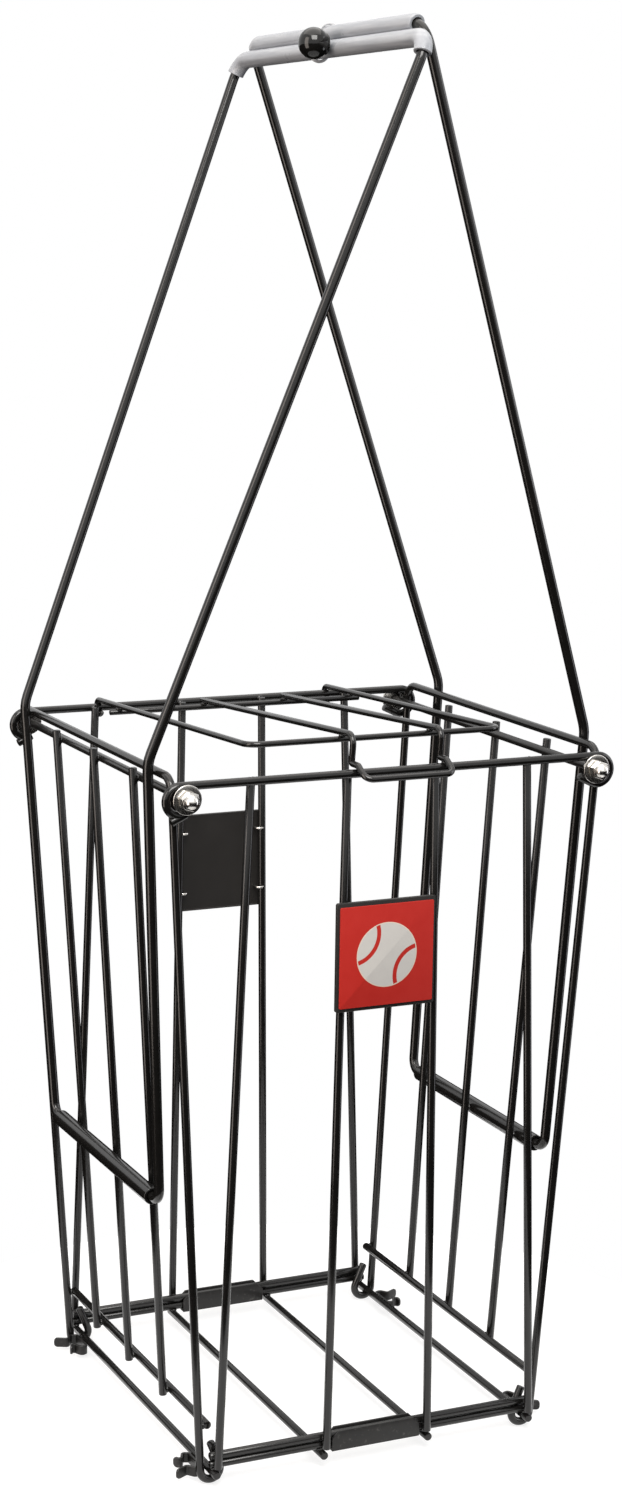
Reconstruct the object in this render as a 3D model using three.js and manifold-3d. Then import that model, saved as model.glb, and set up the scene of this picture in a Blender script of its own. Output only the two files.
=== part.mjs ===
// Tennis ball hopper: a wire basket whose two long wire bails fold up as carrying handles and swing
// down as legs. Millimetres, +Z up, x across the front, y from front to back.
// The origin is on the ground under the middle of the basket.
import * as THREE from "three";
import Module from "manifold-3d";
import { mergeVertices } from "three/addons/utils/BufferGeometryUtils.js";

// Wires and the gaps between pieces
const basket_wire = 4.76;
const bail_wire = 5.8;
const lid_wire = 3.4;
const latch_wire = 3.6;
const weld_gap = 0.3;
const running_gap = 0.5;
const wire_sides = 10;
const bend_step = Math.PI / 9;

// Base: four rods on two cross wires, spaced so that a ball squeezes through
const rod_pitch = 66.7;
const rod_count = 4;
const rod_overhang = 5.3;
const hook_radius = 6;
const hook_lean = 22;
const spike_length = 15;
const hook_to_panel_gap = 0.55;
const base_wire_overhang = 1;

// Side frames
const frame_top_half_width = 130.5;
const frame_top_half_depth = 119.8;
const frame_top_height = 410.9;
const frame_spread = 11.9;
const frame_bend = 9;
const frame_to_rail_gap = 0.2;
const side_bar_half_width = 102.7;
const side_bar_height = 35.8;
const side_bar_overhang = 2.1;
const side_wire_top_pitch = 62.2;
const side_wire_foot_pitch = 54.6;
const side_wire_top_reach = 6;
const side_wire_foot_reach = 3;

// Front and back panels
const rim_to_frame_gap = 0.44;
const rim_drop = 3.6;
const rail_above_eyelet_centre = 1.1;
const eyelet_outside_rail = 2.8;
const eyelet_radius = 8;
const eyelet_turn = 205;
const eyelet_stub = 9.5;
const panel_top_half_widths = [27, 84.6];
const panel_foot_half_widths = [32.1, 99.3];
const panel_wire_top_reach = 1;
const panel_wire_foot_reach = 6;

// Rail ends: washers and domed nuts
const washer_diameter = 16.4;
const washer_thickness = 1.5;
const nut_across_flats = 9.5;
const nut_hex_height = 5;
const nut_dome_radius = 4.1;
const nut_bore_depth = 6.4;
const thread_gap = 0.25;

// Sleeves and bails. As they rise, a bail's arms part by the splay share and lean back by the lean share.
const sleeve_diameter = 9.8;
const sleeve_to_arm = 10.4;
const pivot_height = 162.9;
const arm_inside_frame = 21.5;
const bail_foot_bend = 8;
const shoulder_to_frame_gap = 0.82;
const shoulder_rise = 5.6;
const shoulder_bend = 24;
const grip_bend = 12;
const grip_diameter = 9.8;
const grip_bore_gap = 0.3;
const grip_x = 8.6;
const grip_height = 797.3;
const upper_grip_side_step = 6;
const upper_grip_rise = 8.9;
const left_grip = {
  x: grip_x,
  z: grip_height,
  half_depth: 125,
  shift: -3.5,
  splay_share: 0.0576,
  lean_share: 0.0012,
  bare_steps: [1, 1],
};
const right_grip = {
  x: grip_x + upper_grip_side_step,
  z: grip_height + upper_grip_rise,
  half_depth: 113.8,
  shift: 3.2,
  splay_share: 0.0201,
  lean_share: -0.0106,
  bare_steps: [4, 3],
};
const bail_joint_gap = 1;

// Clips that hold the bails as legs
const leg_to_clip_gap = 3.66;
const clip_strip = 1.5;
const clip_height = 6;
const clip_drop = 2.4;
const clip_outer_reach = 8.6;
const clip_inner_reach = 12;
const clip_bend = 1.6;
const clip_throat_gap = 0.3;
const clip_long_prong = 7.7;
const clip_long_flare = 4;
const clip_short_prong = 2.5;
const clip_short_flare = 5.5;

// Channel clips that clasp the basket's bottom wire to the base wire
const channel_length = 56;
const channel_height = 12;
const channel_sheet = 1.2;
const channel_gap = 0.3;
const channel_chamfer = 4;

// Badge plates and the coloured face
const plate_width = 60.6;
const plate_height = 62;
const plate_thickness = 2.5;
const plate_centre_height = 304;
const front_plate_x = -4;
const back_plate_x = 1;
const label_size = 57.5;
const label_thickness = 0.8;

// Lid and its latch
const lid_left = 80;
const lid_right = 75;
const lid_behind_front_rim = 19;
const lid_rise = 11.5;
const lid_corner_bend = 8;
const lid_curl_turn = 235;
const lid_crossbar_setback = 34;
const lid_crossbar_overhang = 6;
const latch_half_width = 27;
const latch_x = 3;
const latch_bend = 5;
const latch_small_bend = 1;
const latch_tail = 4;
const latch_leg_gap = 2.4;
const latch_leg_lean = 2.2;
const latch_past_rim = 2;
const latch_tab_drop = 5.9;

// Elastic lock: a ball on a loop of cord that ties the two grips
const ball_diameter = 17.5;
const ball_y = -15;
const ball_beside_grip = 14;
const ball_above_grip = 2.2;
const band_wire = 1.8;
const band_gap = 0.3;
const ball_bore_gap = 0.3;
const bore_end_gap = 0.6;
const band_mouth_run = 1.5;
const loop_behind_ball = 23;
const fork_beside_loop = 1.4;

const ends = [["front", -1], ["back", 1]];
const sides = [["left", -1], ["right", 1]];

const black_wire = { color: 0x17181a, roughness: 0.32, metalness: 0.1 };
const nickel = { color: 0xc9c7c0, roughness: 0.22, metalness: 1 };
const milky = { color: 0xdfe2e2, roughness: 0.45, metalness: 0 };
const black_spring = { color: 0x111214, roughness: 0.4, metalness: 0.2 };
const black_gloss = { color: 0x0c0c0d, roughness: 0.12, metalness: 0 };
const milky_elastic = { color: 0xcfd2d2, roughness: 0.6, metalness: 0 };
const red_face = { color: 0xb12a24, roughness: 0.4, metalness: 0 };

const wasm = await Module();
wasm.setup();
const group = new THREE.Group();

function at(x, y, z) {
  return new THREE.Vector3(x, y, z);
}

function radians(degrees) {
  return THREE.MathUtils.degToRad(degrees);
}

function add(name, geometry, finish) {
  const mesh = new THREE.Mesh(geometry, new THREE.MeshStandardMaterial(finish));
  mesh.name = name;
  group.add(mesh);
  return mesh;
}

// A centre line through stations: the ends of the straights and the steps of each bend.
class CentreLine extends THREE.Curve {
  constructor(stations) {
    super();
    this.stations = stations;
  }

  getPoint(t, target = new THREE.Vector3()) {
    const last = this.stations.length - 1;
    const place = Math.min(Math.floor(t * last), last - 1);
    return target.lerpVectors(this.stations[place], this.stations[place + 1], t * last - place);
  }

  getPointAt(u, target) {
    return this.getPoint(u, target);
  }

  getTangentAt(u, target = new THREE.Vector3()) {
    const last = this.stations.length - 1;
    const place = Math.round(u * last);
    target.set(0, 0, 0);
    for (const step of [place - 1, place]) {
      if (step >= 0 && step < last) {
        target.add(this.stations[step + 1].clone().sub(this.stations[step]).normalize());
      }
    }
    return target.normalize();
  }
}

// Points turned about a centre, first to last.
function turn(start, centre, axis, angle) {
  const steps = Math.max(2, Math.ceil(angle / bend_step));
  const points = [];
  for (let step = 0; step <= steps; step += 1) {
    const arm = start.clone().sub(centre);
    points.push(arm.applyAxisAngle(axis, angle * step / steps).add(centre));
  }
  return points;
}

// A run of straights through corners, with a bend of the given radius at each corner.
function bent(corners, radii) {
  const stations = [corners[0]];
  for (let index = 1; index < corners.length - 1; index += 1) {
    const corner = corners[index];
    const radius = Array.isArray(radii) ? radii[index - 1] : radii;
    const before = corners[index - 1].clone().sub(corner).normalize();
    const after = corners[index + 1].clone().sub(corner).normalize();
    const angle = Math.PI - before.angleTo(after);
    const start = corner.clone().addScaledVector(before, radius * Math.tan(angle / 2));
    const middle = before.clone().add(after).normalize();
    const centre = corner.clone().addScaledVector(middle, radius / Math.cos(angle / 2));
    const axis = after.clone().cross(before).normalize();
    stations.push(...turn(start, centre, axis, angle));
  }
  stations.push(corners[corners.length - 1]);
  return stations;
}

function circle(radius, count = wire_sides) {
  const points = [];
  for (let index = 0; index < count; index += 1) {
    const angle = 2 * Math.PI * (index + 0.5) / count;
    points.push(new THREE.Vector2(radius * Math.cos(angle), radius * Math.sin(angle)));
  }
  return points;
}

function sweep(stations, section) {
  return new THREE.ExtrudeGeometry(section, {
    steps: stations.length - 1,
    extrudePath: new CentreLine(stations),
  });
}

function wire(stations, diameter) {
  return sweep(stations, new THREE.Shape(circle(diameter / 2)));
}

function tube(stations, diameter, bore) {
  const section = new THREE.Shape(circle(diameter / 2));
  section.holes.push(new THREE.Path(circle(bore / 2).reverse()));
  return sweep(stations, section);
}

function solid(geometry) {
  const bare = geometry.clone();
  bare.deleteAttribute("normal");
  bare.deleteAttribute("uv");
  const merged = mergeVertices(bare);
  return new wasm.Manifold(new wasm.Mesh({
    numProp: 3,
    vertProperties: Float32Array.from(merged.attributes.position.array),
    triVerts: Uint32Array.from(merged.index.array),
  }));
}

function shell(body) {
  const mesh = body.getMesh();
  const geometry = new THREE.BufferGeometry();
  geometry.setAttribute("position", new THREE.BufferAttribute(mesh.vertProperties, mesh.numProp));
  geometry.setIndex(new THREE.BufferAttribute(mesh.triVerts, 1));
  return geometry;
}

const weld_step = basket_wire + weld_gap;
const rod_height = hook_radius + basket_wire / 2;
const rod_half_width = rod_pitch * (rod_count - 1) / 2;
const foot_half_depth = frame_top_half_depth - frame_spread;
const side_bar_half_length = foot_half_depth + side_bar_overhang;
const base_wire_height = rod_height + weld_step;
const panel_bottom_height = base_wire_height + weld_step;
const pair_half_depth = foot_half_depth + basket_wire + hook_to_panel_gap;
const panel_foot_half_depth = pair_half_depth + weld_step;
const foot_half_width = rod_half_width + hook_radius;
const frame_slope = (frame_top_half_width - foot_half_width) / (frame_top_height - rod_height);

// The rims, the eyelets, the rails inside the frames and the bails' shoulders keep to the frames' top.
const rim_half_depth = frame_top_half_depth + basket_wire + rim_to_frame_gap;
const rim_height = frame_top_height - rim_drop;
const panel_top_half_depth = rim_half_depth - weld_step;
const rail_height = rim_height - eyelet_radius + rail_above_eyelet_centre;
const frame_at_rail = frame_top_half_width - frame_slope * (frame_top_height - rail_height);
const rail_half_width = frame_at_rail - basket_wire - frame_to_rail_gap;
const eyelet_half_span = rail_half_width + eyelet_outside_rail;
const shoulder_height = frame_top_height + shoulder_rise;
const shoulder_half_width = frame_top_half_width + (basket_wire + bail_wire) / 2 + shoulder_to_frame_gap;
const side_wire_slope = (rail_half_width - side_bar_half_width) / (rail_height - side_bar_height);

// Front and back panels: a rim bar with an eyelet at each end, four uprights and a bottom wire.
function rimBar(end) {
  const y = end * rim_half_depth;
  const axis = at(0, 1, 0);
  const halves = [];
  for (const side of [-1, 1]) {
    const centre = at(side * eyelet_half_span, y, rim_height - eyelet_radius);
    const top = at(side * eyelet_half_span, y, rim_height);
    const curl = turn(top, centre, axis.clone().multiplyScalar(side), radians(eyelet_turn));
    const last = curl[curl.length - 1];
    const heading = last.clone().sub(centre).cross(axis).multiplyScalar(-side).normalize();
    halves.push([...curl, last.clone().addScaledVector(heading, eyelet_stub)]);
  }
  return [...halves[0].reverse(), ...halves[1]];
}

function panelWire(end, side, place) {
  const top = at(side * panel_top_half_widths[place], end * panel_top_half_depth, rim_height);
  const foot = at(side * panel_foot_half_widths[place], end * panel_foot_half_depth, panel_bottom_height);
  const run = top.clone().sub(foot).normalize();
  top.addScaledVector(run, panel_wire_top_reach);
  foot.addScaledVector(run, -panel_wire_foot_reach);
  return [foot, top];
}

function crossWire(end, height) {
  const reach = panel_foot_half_widths[1] + basket_wire / 2 + base_wire_overhang;
  const y = end * pair_half_depth;
  return [at(-reach, y, height), at(reach, y, height)];
}

for (const [end_name, end] of ends) {
  add(`${end_name}_rim`, wire(rimBar(end), basket_wire), black_wire);
  const order = [[-1, 1], [-1, 0], [1, 0], [1, 1]];
  order.forEach(([side, place], index) => {
    const name = `${end_name}_wire_${index + 1}`;
    add(name, wire(panelWire(end, side, place), basket_wire), black_wire);
  });
  add(`${end_name}_bottom_wire`, wire(crossWire(end, panel_bottom_height), basket_wire), black_wire);
  add(`base_${end_name}_wire`, wire(crossWire(end, base_wire_height), basket_wire), black_wire);
}

// Base rods lie under the two base wires, from front to back.
for (let index = 0; index < rod_count; index += 1) {
  const x = index * rod_pitch - rod_half_width;
  const y = pair_half_depth + rod_overhang;
  const stations = [at(x, -y, rod_height), at(x, y, rod_height)];
  add(`base_rod_${index + 1}`, wire(stations, basket_wire), black_wire);
}

// Side frames: one wire that hooks the base rod, rises, runs along the top and comes down again.
function hook(side, end) {
  const centre = at(side * rod_half_width, end * foot_half_depth, rod_height);
  const lean = Math.atan(frame_slope);
  const axis = at(0, side, 0);
  const start = centre.clone();
  start.x += side * hook_radius * Math.cos(lean);
  start.z -= hook_radius * Math.sin(lean);
  const curl = turn(start, centre, axis, Math.PI - lean + radians(hook_lean));
  const last = curl[curl.length - 1];
  const heading = last.clone().sub(centre).cross(axis).normalize().negate();
  curl.push(last.clone().addScaledVector(heading, spike_length));
  return curl;
}

function sideFrame(side) {
  const x = side * frame_top_half_width;
  const front_hook = hook(side, -1).reverse();
  const back_hook = hook(side, 1);
  const corners = [
    front_hook[front_hook.length - 1],
    at(x, -frame_top_half_depth, frame_top_height),
    at(x, frame_top_half_depth, frame_top_height),
    back_hook[0],
  ];
  const arch = bent(corners, frame_bend).slice(1, -1);
  return [...front_hook, ...arch, ...back_hook];
}

function sideWire(side, place) {
  const top = at(side * (rail_half_width + weld_step), place * side_wire_top_pitch, rail_height);
  const foot = at(side * (side_bar_half_width + weld_step), place * side_wire_foot_pitch, side_bar_height);
  const run = top.clone().sub(foot).normalize();
  top.addScaledVector(run, side_wire_top_reach);
  foot.addScaledVector(run, -side_wire_foot_reach);
  return [foot, top];
}

// The lower rail's threaded ends pass through the eyelets and take a washer and a domed nut.
const washer_y = rim_half_depth + basket_wire / 2 + weld_gap;
const nut_y = washer_y + washer_thickness + weld_gap;
const rail_half_length = nut_y + nut_bore_depth - thread_gap;

function washer() {
  const section = new THREE.Shape(circle(washer_diameter / 2, 24));
  section.holes.push(new THREE.Path(circle(basket_wire / 2 + thread_gap, 12).reverse()));
  return new THREE.ExtrudeGeometry(section, { depth: washer_thickness, bevelEnabled: false });
}

function domedNut() {
  const hexagon = new THREE.Shape(circle(nut_across_flats / Math.sqrt(3), 6));
  const body = new THREE.ExtrudeGeometry(hexagon, { depth: nut_hex_height, bevelEnabled: false });
  const dome_steps = 5;
  const profile = [new THREE.Vector2(0, 0), new THREE.Vector2(nut_dome_radius, 0)];
  for (let step = 0; step < dome_steps; step += 1) {
    const angle = Math.PI / 2 * step / dome_steps;
    const height = nut_hex_height + nut_dome_radius * Math.sin(angle);
    profile.push(new THREE.Vector2(nut_dome_radius * Math.cos(angle), height));
  }
  profile.push(new THREE.Vector2(0, nut_hex_height + nut_dome_radius));
  const dome = new THREE.LatheGeometry(profile, 16).rotateX(Math.PI / 2);
  const bore_radius = basket_wire / 2 + thread_gap;
  const bore = new THREE.CylinderGeometry(bore_radius, bore_radius, 2 * nut_bore_depth, 12);
  return shell(solid(body).add(solid(dome)).subtract(solid(bore.rotateX(Math.PI / 2))));
}

function faceOutward(mesh, side, end, y) {
  mesh.position.set(side * rail_half_width, end * y, rail_height);
  mesh.rotation.x = -end * Math.PI / 2;
}

for (const [side_name, side] of sides) {
  add(`${side_name}_frame`, wire(sideFrame(side), basket_wire), black_wire);
  const rail_x = side * rail_half_width;
  const rail = [at(rail_x, -rail_half_length, rail_height), at(rail_x, rail_half_length, rail_height)];
  add(`${side_name}_rail`, wire(rail, basket_wire), black_wire);
  for (const place of [-1, 0, 1]) {
    add(`${side_name}_wire_${place + 2}`, wire(sideWire(side, place), basket_wire), black_wire);
  }
  const bar_x = side * side_bar_half_width;
  const bar = [
    at(bar_x, -side_bar_half_length, side_bar_height),
    at(bar_x, side_bar_half_length, side_bar_height),
  ];
  add(`${side_name}_bottom_bar`, wire(bar, basket_wire), black_wire);
  for (const [end_name, end] of ends) {
    faceOutward(add(`${end_name}_${side_name}_washer`, washer(), nickel), side, end, washer_y);
    faceOutward(add(`${end_name}_${side_name}_nut`, domedNut(), nickel), side, end, nut_y);
  }
}

// Sleeves on the side wires carry the foot of each bail.
const side_wire_at_pivot = side_bar_half_width + weld_step
  + side_wire_slope * (pivot_height - side_bar_height);
const sleeve_seat = (basket_wire + sleeve_diameter) / 2 + weld_gap;
const pivot_half_width = side_wire_at_pivot + sleeve_seat * Math.hypot(1, side_wire_slope);
const bail_foot_half_depth = foot_half_depth - arm_inside_frame;
const sleeve_half_length = bail_foot_half_depth - sleeve_to_arm;

// How far front or back an arm stands at a given distance from its foot.
function armDepth(end, grip, distance) {
  return end * bail_foot_half_depth + distance * (end * grip.splay_share + grip.lean_share);
}

function bailCorners(side, grip) {
  const foot = (end) => at(side * pivot_half_width, armDepth(end, grip, 0), pivot_height);
  const shoulder = (end) => {
    const y = armDepth(end, grip, shoulder_height - pivot_height);
    return at(side * shoulder_half_width, y, shoulder_height);
  };
  const top = (end) => at(grip.x, end * grip.half_depth + grip.shift, grip.z);
  return { foot, shoulder, top };
}

// The wire's two ends butt inside the sleeve.
function bailLoop(side, grip) {
  const { foot, shoulder, top } = bailCorners(side, grip);
  const butt = (end) => at(side * pivot_half_width, end * bail_joint_gap / 2, pivot_height);
  const corners = [butt(-1), foot(-1), shoulder(-1), top(-1), top(1), shoulder(1), foot(1), butt(1)];
  const radii = [bail_foot_bend, shoulder_bend, grip_bend, grip_bend, shoulder_bend, bail_foot_bend];
  return bent(corners, radii);
}

// A grip covers the crossbar and some steps of each bend, and leaves the others bare.
function gripRun(side, grip) {
  const { shoulder, top } = bailCorners(side, grip);
  const run = bent([shoulder(-1), top(-1), top(1), shoulder(1)], grip_bend);
  const [front_bare, back_bare] = grip.bare_steps;
  return run.slice(1 + front_bare, -1 - back_bare);
}

for (const [side_name, side] of sides) {
  const grip = side < 0 ? left_grip : right_grip;
  const sleeve = [-1, 1].map((end) => at(side * pivot_half_width, end * sleeve_half_length, pivot_height));
  add(`${side_name}_sleeve`, tube(sleeve, sleeve_diameter, bail_wire + 2 * running_gap), black_wire);
  add(`${side_name}_bail`, wire(bailLoop(side, grip), bail_wire), black_wire);
  add(`${side_name}_grip`, tube(gripRun(side, grip), grip_diameter, bail_wire + 2 * grip_bore_gap), milky);
}

// Leg clips: a spring strip along the outside of the base rod, its two prongs open outwards.
const clip_z = rod_height - clip_drop;
const clip_back = rod_half_width + basket_wire / 2 + weld_gap + clip_strip / 2;
const leg_half_width = clip_back + (clip_strip + bail_wire) / 2 + leg_to_clip_gap;
const clip_belly = (clip_back + leg_half_width) / 2;

function legClip(side, end, grip) {
  const leg_y = armDepth(end, grip, pivot_height - clip_z);
  const throat = bail_wire / 2 + clip_throat_gap + clip_strip / 2;
  const outline = [
    [leg_half_width + clip_short_prong, -throat - clip_short_flare],
    [leg_half_width, -throat],
    [clip_belly, -clip_inner_reach],
    [clip_back, -clip_inner_reach + clip_strip],
    [clip_back, clip_outer_reach - clip_strip],
    [clip_belly, clip_outer_reach],
    [leg_half_width, throat],
    [leg_half_width + clip_long_prong, throat + clip_long_flare],
  ];
  const corners = outline.map(([x, along]) => at(side * x, leg_y + end * along, clip_z));
  const section = new THREE.Shape([
    new THREE.Vector2(-clip_height / 2, -clip_strip / 2),
    new THREE.Vector2(clip_height / 2, -clip_strip / 2),
    new THREE.Vector2(clip_height / 2, clip_strip / 2),
    new THREE.Vector2(-clip_height / 2, clip_strip / 2),
  ]);
  return sweep(bent(corners, clip_bend), section);
}

for (const [side_name, side] of sides) {
  const grip = side < 0 ? left_grip : right_grip;
  for (const [end_name, end] of ends) {
    add(`${end_name}_${side_name}_leg_clip`, legClip(side, end, grip), black_spring);
  }
}

// Channel clips, folded from sheet, with the front flange's upper corners cut off.
function channelClip(end) {
  const inner = basket_wire / 2 + channel_gap;
  const outer = inner + channel_sheet;
  const floor = base_wire_height - inner;
  const foot = floor - channel_sheet;
  const top = foot + channel_height;
  const profile = new THREE.Shape([
    new THREE.Vector2(-outer, foot),
    new THREE.Vector2(outer, foot),
    new THREE.Vector2(outer, top),
    new THREE.Vector2(inner, top),
    new THREE.Vector2(inner, floor),
    new THREE.Vector2(-inner, floor),
    new THREE.Vector2(-inner, top),
    new THREE.Vector2(-outer, top),
  ]);
  const channel = new THREE.ExtrudeGeometry(profile, { depth: channel_length, bevelEnabled: false });
  channel.rotateX(Math.PI / 2).rotateZ(Math.PI / 2).translate(-channel_length / 2, 0, 0);
  let body = solid(channel);
  for (const side of [-1, 1]) {
    const corner = new THREE.BoxGeometry(channel_chamfer, 3 * outer, 2 * channel_chamfer);
    corner.rotateY(side * Math.PI / 4);
    corner.translate(side * channel_length / 2, 0, top);
    body = body.subtract(solid(corner));
  }
  return shell(body).translate(0, end * pair_half_depth, 0);
}

// Badge plates hang on the two middle wires of each panel.
function plateY(end) {
  const share = (plate_centre_height - plate_height / 2) / rim_height;
  const wire_y = THREE.MathUtils.lerp(panel_foot_half_depth, panel_top_half_depth, share);
  return end * (Math.max(wire_y, panel_top_half_depth) + basket_wire / 2 + weld_gap + plate_thickness / 2);
}

function slab(width, thickness, height, corner) {
  const shape = new THREE.Shape();
  const x = width / 2;
  const z = height / 2;
  shape.moveTo(-x + corner, -z);
  shape.lineTo(x - corner, -z);
  shape.absarc(x - corner, -z + corner, corner, -Math.PI / 2, 0);
  shape.lineTo(x, z - corner);
  shape.absarc(x - corner, z - corner, corner, 0, Math.PI / 2);
  shape.lineTo(-x + corner, z);
  shape.absarc(-x + corner, z - corner, corner, Math.PI / 2, Math.PI);
  shape.lineTo(-x, -z + corner);
  shape.absarc(-x + corner, -z + corner, corner, Math.PI, 1.5 * Math.PI);
  const settings = { depth: thickness, bevelEnabled: false, curveSegments: 2 };
  return new THREE.ExtrudeGeometry(shape, settings).rotateX(Math.PI / 2).translate(0, thickness / 2, 0);
}

for (const [end_name, end] of ends) {
  add(`${end_name}_sheet_clip`, channelClip(end), black_spring);
  const plate = slab(plate_width, plate_thickness, plate_height, plate_thickness / 2);
  const plate_x = end < 0 ? front_plate_x : back_plate_x;
  const plate_mesh = add(`${end_name}_badge_plate`, plate, black_gloss);
  plate_mesh.position.set(plate_x, plateY(end), plate_centre_height);
}
const label = slab(label_size, label_thickness, label_size, label_thickness);
const label_y = plateY(-1) - (plate_thickness + label_thickness) / 2 - weld_gap;
add("front_badge_label", label, red_face).position.set(front_plate_x, label_y, plate_centre_height);

// Lid: a bent wire whose ends curl round the back rim bar, with a crossbar under its arms.
const curl_radius = (basket_wire + lid_wire) / 2 + weld_gap;
const lid_front = lid_behind_front_rim - rim_half_depth;
const lid_slope = lid_rise / (rim_half_depth - lid_front);

function lidHeight(y) {
  return rim_height + curl_radius + lid_slope * (rim_half_depth - y);
}

function lidCurl(x) {
  const centre = at(x, rim_half_depth, rim_height);
  return turn(centre.clone().add(at(0, 0, curl_radius)), centre, at(-1, 0, 0), radians(lid_curl_turn));
}

const lid_corners = [
  at(-lid_left, rim_half_depth, lidHeight(rim_half_depth)),
  at(-lid_left, lid_front, lidHeight(lid_front)),
  at(lid_right, lid_front, lidHeight(lid_front)),
  at(lid_right, rim_half_depth, lidHeight(rim_half_depth)),
];
const lid_run = [
  ...lidCurl(-lid_left).reverse(),
  ...bent(lid_corners, lid_corner_bend).slice(1, -1),
  ...lidCurl(lid_right),
];
add("lid_frame", wire(lid_run, lid_wire), black_wire);

const crossbar_y = rim_half_depth - lid_crossbar_setback;
const crossbar_z = lidHeight(crossbar_y) - lid_wire - weld_gap;
const crossbar = [
  at(-lid_left - lid_crossbar_overhang, crossbar_y, crossbar_z),
  at(lid_right + lid_crossbar_overhang, crossbar_y, crossbar_z),
];
add("lid_crossbar", wire(crossbar, lid_wire), black_wire);

// Latch: two wires over the crossbar and the lid's front bar, down behind the rim and out over it.
const latch_seat = (lid_wire + latch_wire) / 2 + weld_gap;
const latch_back_z = crossbar_z + latch_seat;
const latch_front_z = lidHeight(lid_front) + latch_seat;
const latch_slope = (latch_front_z - latch_back_z) / (crossbar_y - lid_front);
const latch_leg_y = -rim_half_depth + (basket_wire + latch_wire) / 2 + latch_leg_gap;
const latch_rest_z = rim_height + (basket_wire + latch_wire) / 2 + weld_gap;
const tab_y = -(nut_y + nut_hex_height + nut_dome_radius - latch_wire / 2);

function latchSide(side) {
  const x = latch_x + side * latch_half_width;
  const height = (y) => latch_back_z + latch_slope * (crossbar_y - y);
  return [
    at(x, crossbar_y + latch_tail, height(crossbar_y + latch_tail)),
    at(x, latch_leg_y - latch_leg_lean, height(latch_leg_y - latch_leg_lean)),
    at(x, latch_leg_y, latch_rest_z),
    at(x, -rim_half_depth - latch_past_rim, latch_rest_z),
    at(x, tab_y, latch_rest_z - latch_tab_drop),
  ];
}

const latch_corners = [...latchSide(-1), ...latchSide(1).reverse()];
const latch_side_bends = [latch_bend, latch_small_bend, latch_small_bend, latch_bend];
const latch_radii = [...latch_side_bends, ...latch_side_bends];
add("lid_latch", wire(bent(latch_corners, latch_radii), latch_wire), black_wire);

// Elastic lock. The cord's two ends sit in a blind bore in the ball's back, and its loop runs round
// both grips a little further back.
const band_radius = (grip_diameter + band_wire) / 2 + band_gap;
const strand_offset = (band_wire + band_gap) / 2;
const ball_bore_radius = strand_offset + band_wire / 2 + ball_bore_gap;
const ball = at(grip_x - ball_beside_grip, ball_y, grip_height + ball_above_grip);
const loop_y = ball_y + loop_behind_ball;

function lockBall() {
  const sphere = new THREE.SphereGeometry(ball_diameter / 2, 24, 16).rotateX(Math.PI / 2);
  const bore = new THREE.CylinderGeometry(ball_bore_radius, ball_bore_radius, ball_diameter, 12);
  bore.translate(0, ball_diameter / 2 - bore_end_gap, 0);
  return shell(solid(sphere).subtract(solid(bore)));
}

function touching(from, centre, sign) {
  const reach = from.clone().sub(centre);
  const angle = Math.atan2(reach.z, reach.x);
  return angle + sign * Math.acos(band_radius / Math.hypot(reach.x, reach.z));
}

function onRing(centre, angle) {
  return at(centre.x + band_radius * Math.cos(angle), centre.y, centre.z + band_radius * Math.sin(angle));
}

// One strand of the cord, from inside the ball to where it parts from the other strand.
function strand(side) {
  const z = ball.z + side * strand_offset;
  const mouth_y = ball.y + ball_diameter / 2 + band_mouth_run;
  const fork_x = left_grip.x - band_radius - fork_beside_loop;
  return [at(ball.x, ball.y, z), at(ball.x, mouth_y, z), at(fork_x, loop_y, z)];
}

function bandRun() {
  const lower = at(left_grip.x, loop_y, left_grip.z);
  const upper = at(right_grip.x, loop_y, right_grip.z);
  const low_strand = strand(-1);
  const high_strand = strand(1);
  const rising = Math.atan2(upper.z - lower.z, upper.x - lower.x) - Math.PI / 2;
  const start = touching(low_strand[2], lower, 1);
  const finish = touching(high_strand[2], upper, -1);
  const axis = at(0, -1, 0);
  const low_turn = rising - start + (rising < start ? 2 * Math.PI : 0);
  const high_turn = finish - rising + (finish < rising ? 2 * Math.PI : 0);
  const low = turn(onRing(lower, start), lower, axis, low_turn);
  const high = turn(onRing(upper, rising), upper, axis, high_turn);
  const into = bent([...low_strand, low[0]], band_wire);
  const out = bent([high[high.length - 1], ...high_strand.reverse()], band_wire);
  return [...into.slice(0, -1), ...low, ...high, ...out.slice(1)];
}

add("lock_ball", lockBall(), black_gloss).position.copy(ball);
add("lock_band", wire(bandRun(), band_wire), milky_elastic);

export default group;
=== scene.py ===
from math import acos, atan, atan2, ceil, cos, degrees, pi, radians, sin, tan

import bpy
from mathutils import Matrix, Vector
from mathutils.geometry import intersect_line_line


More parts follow.
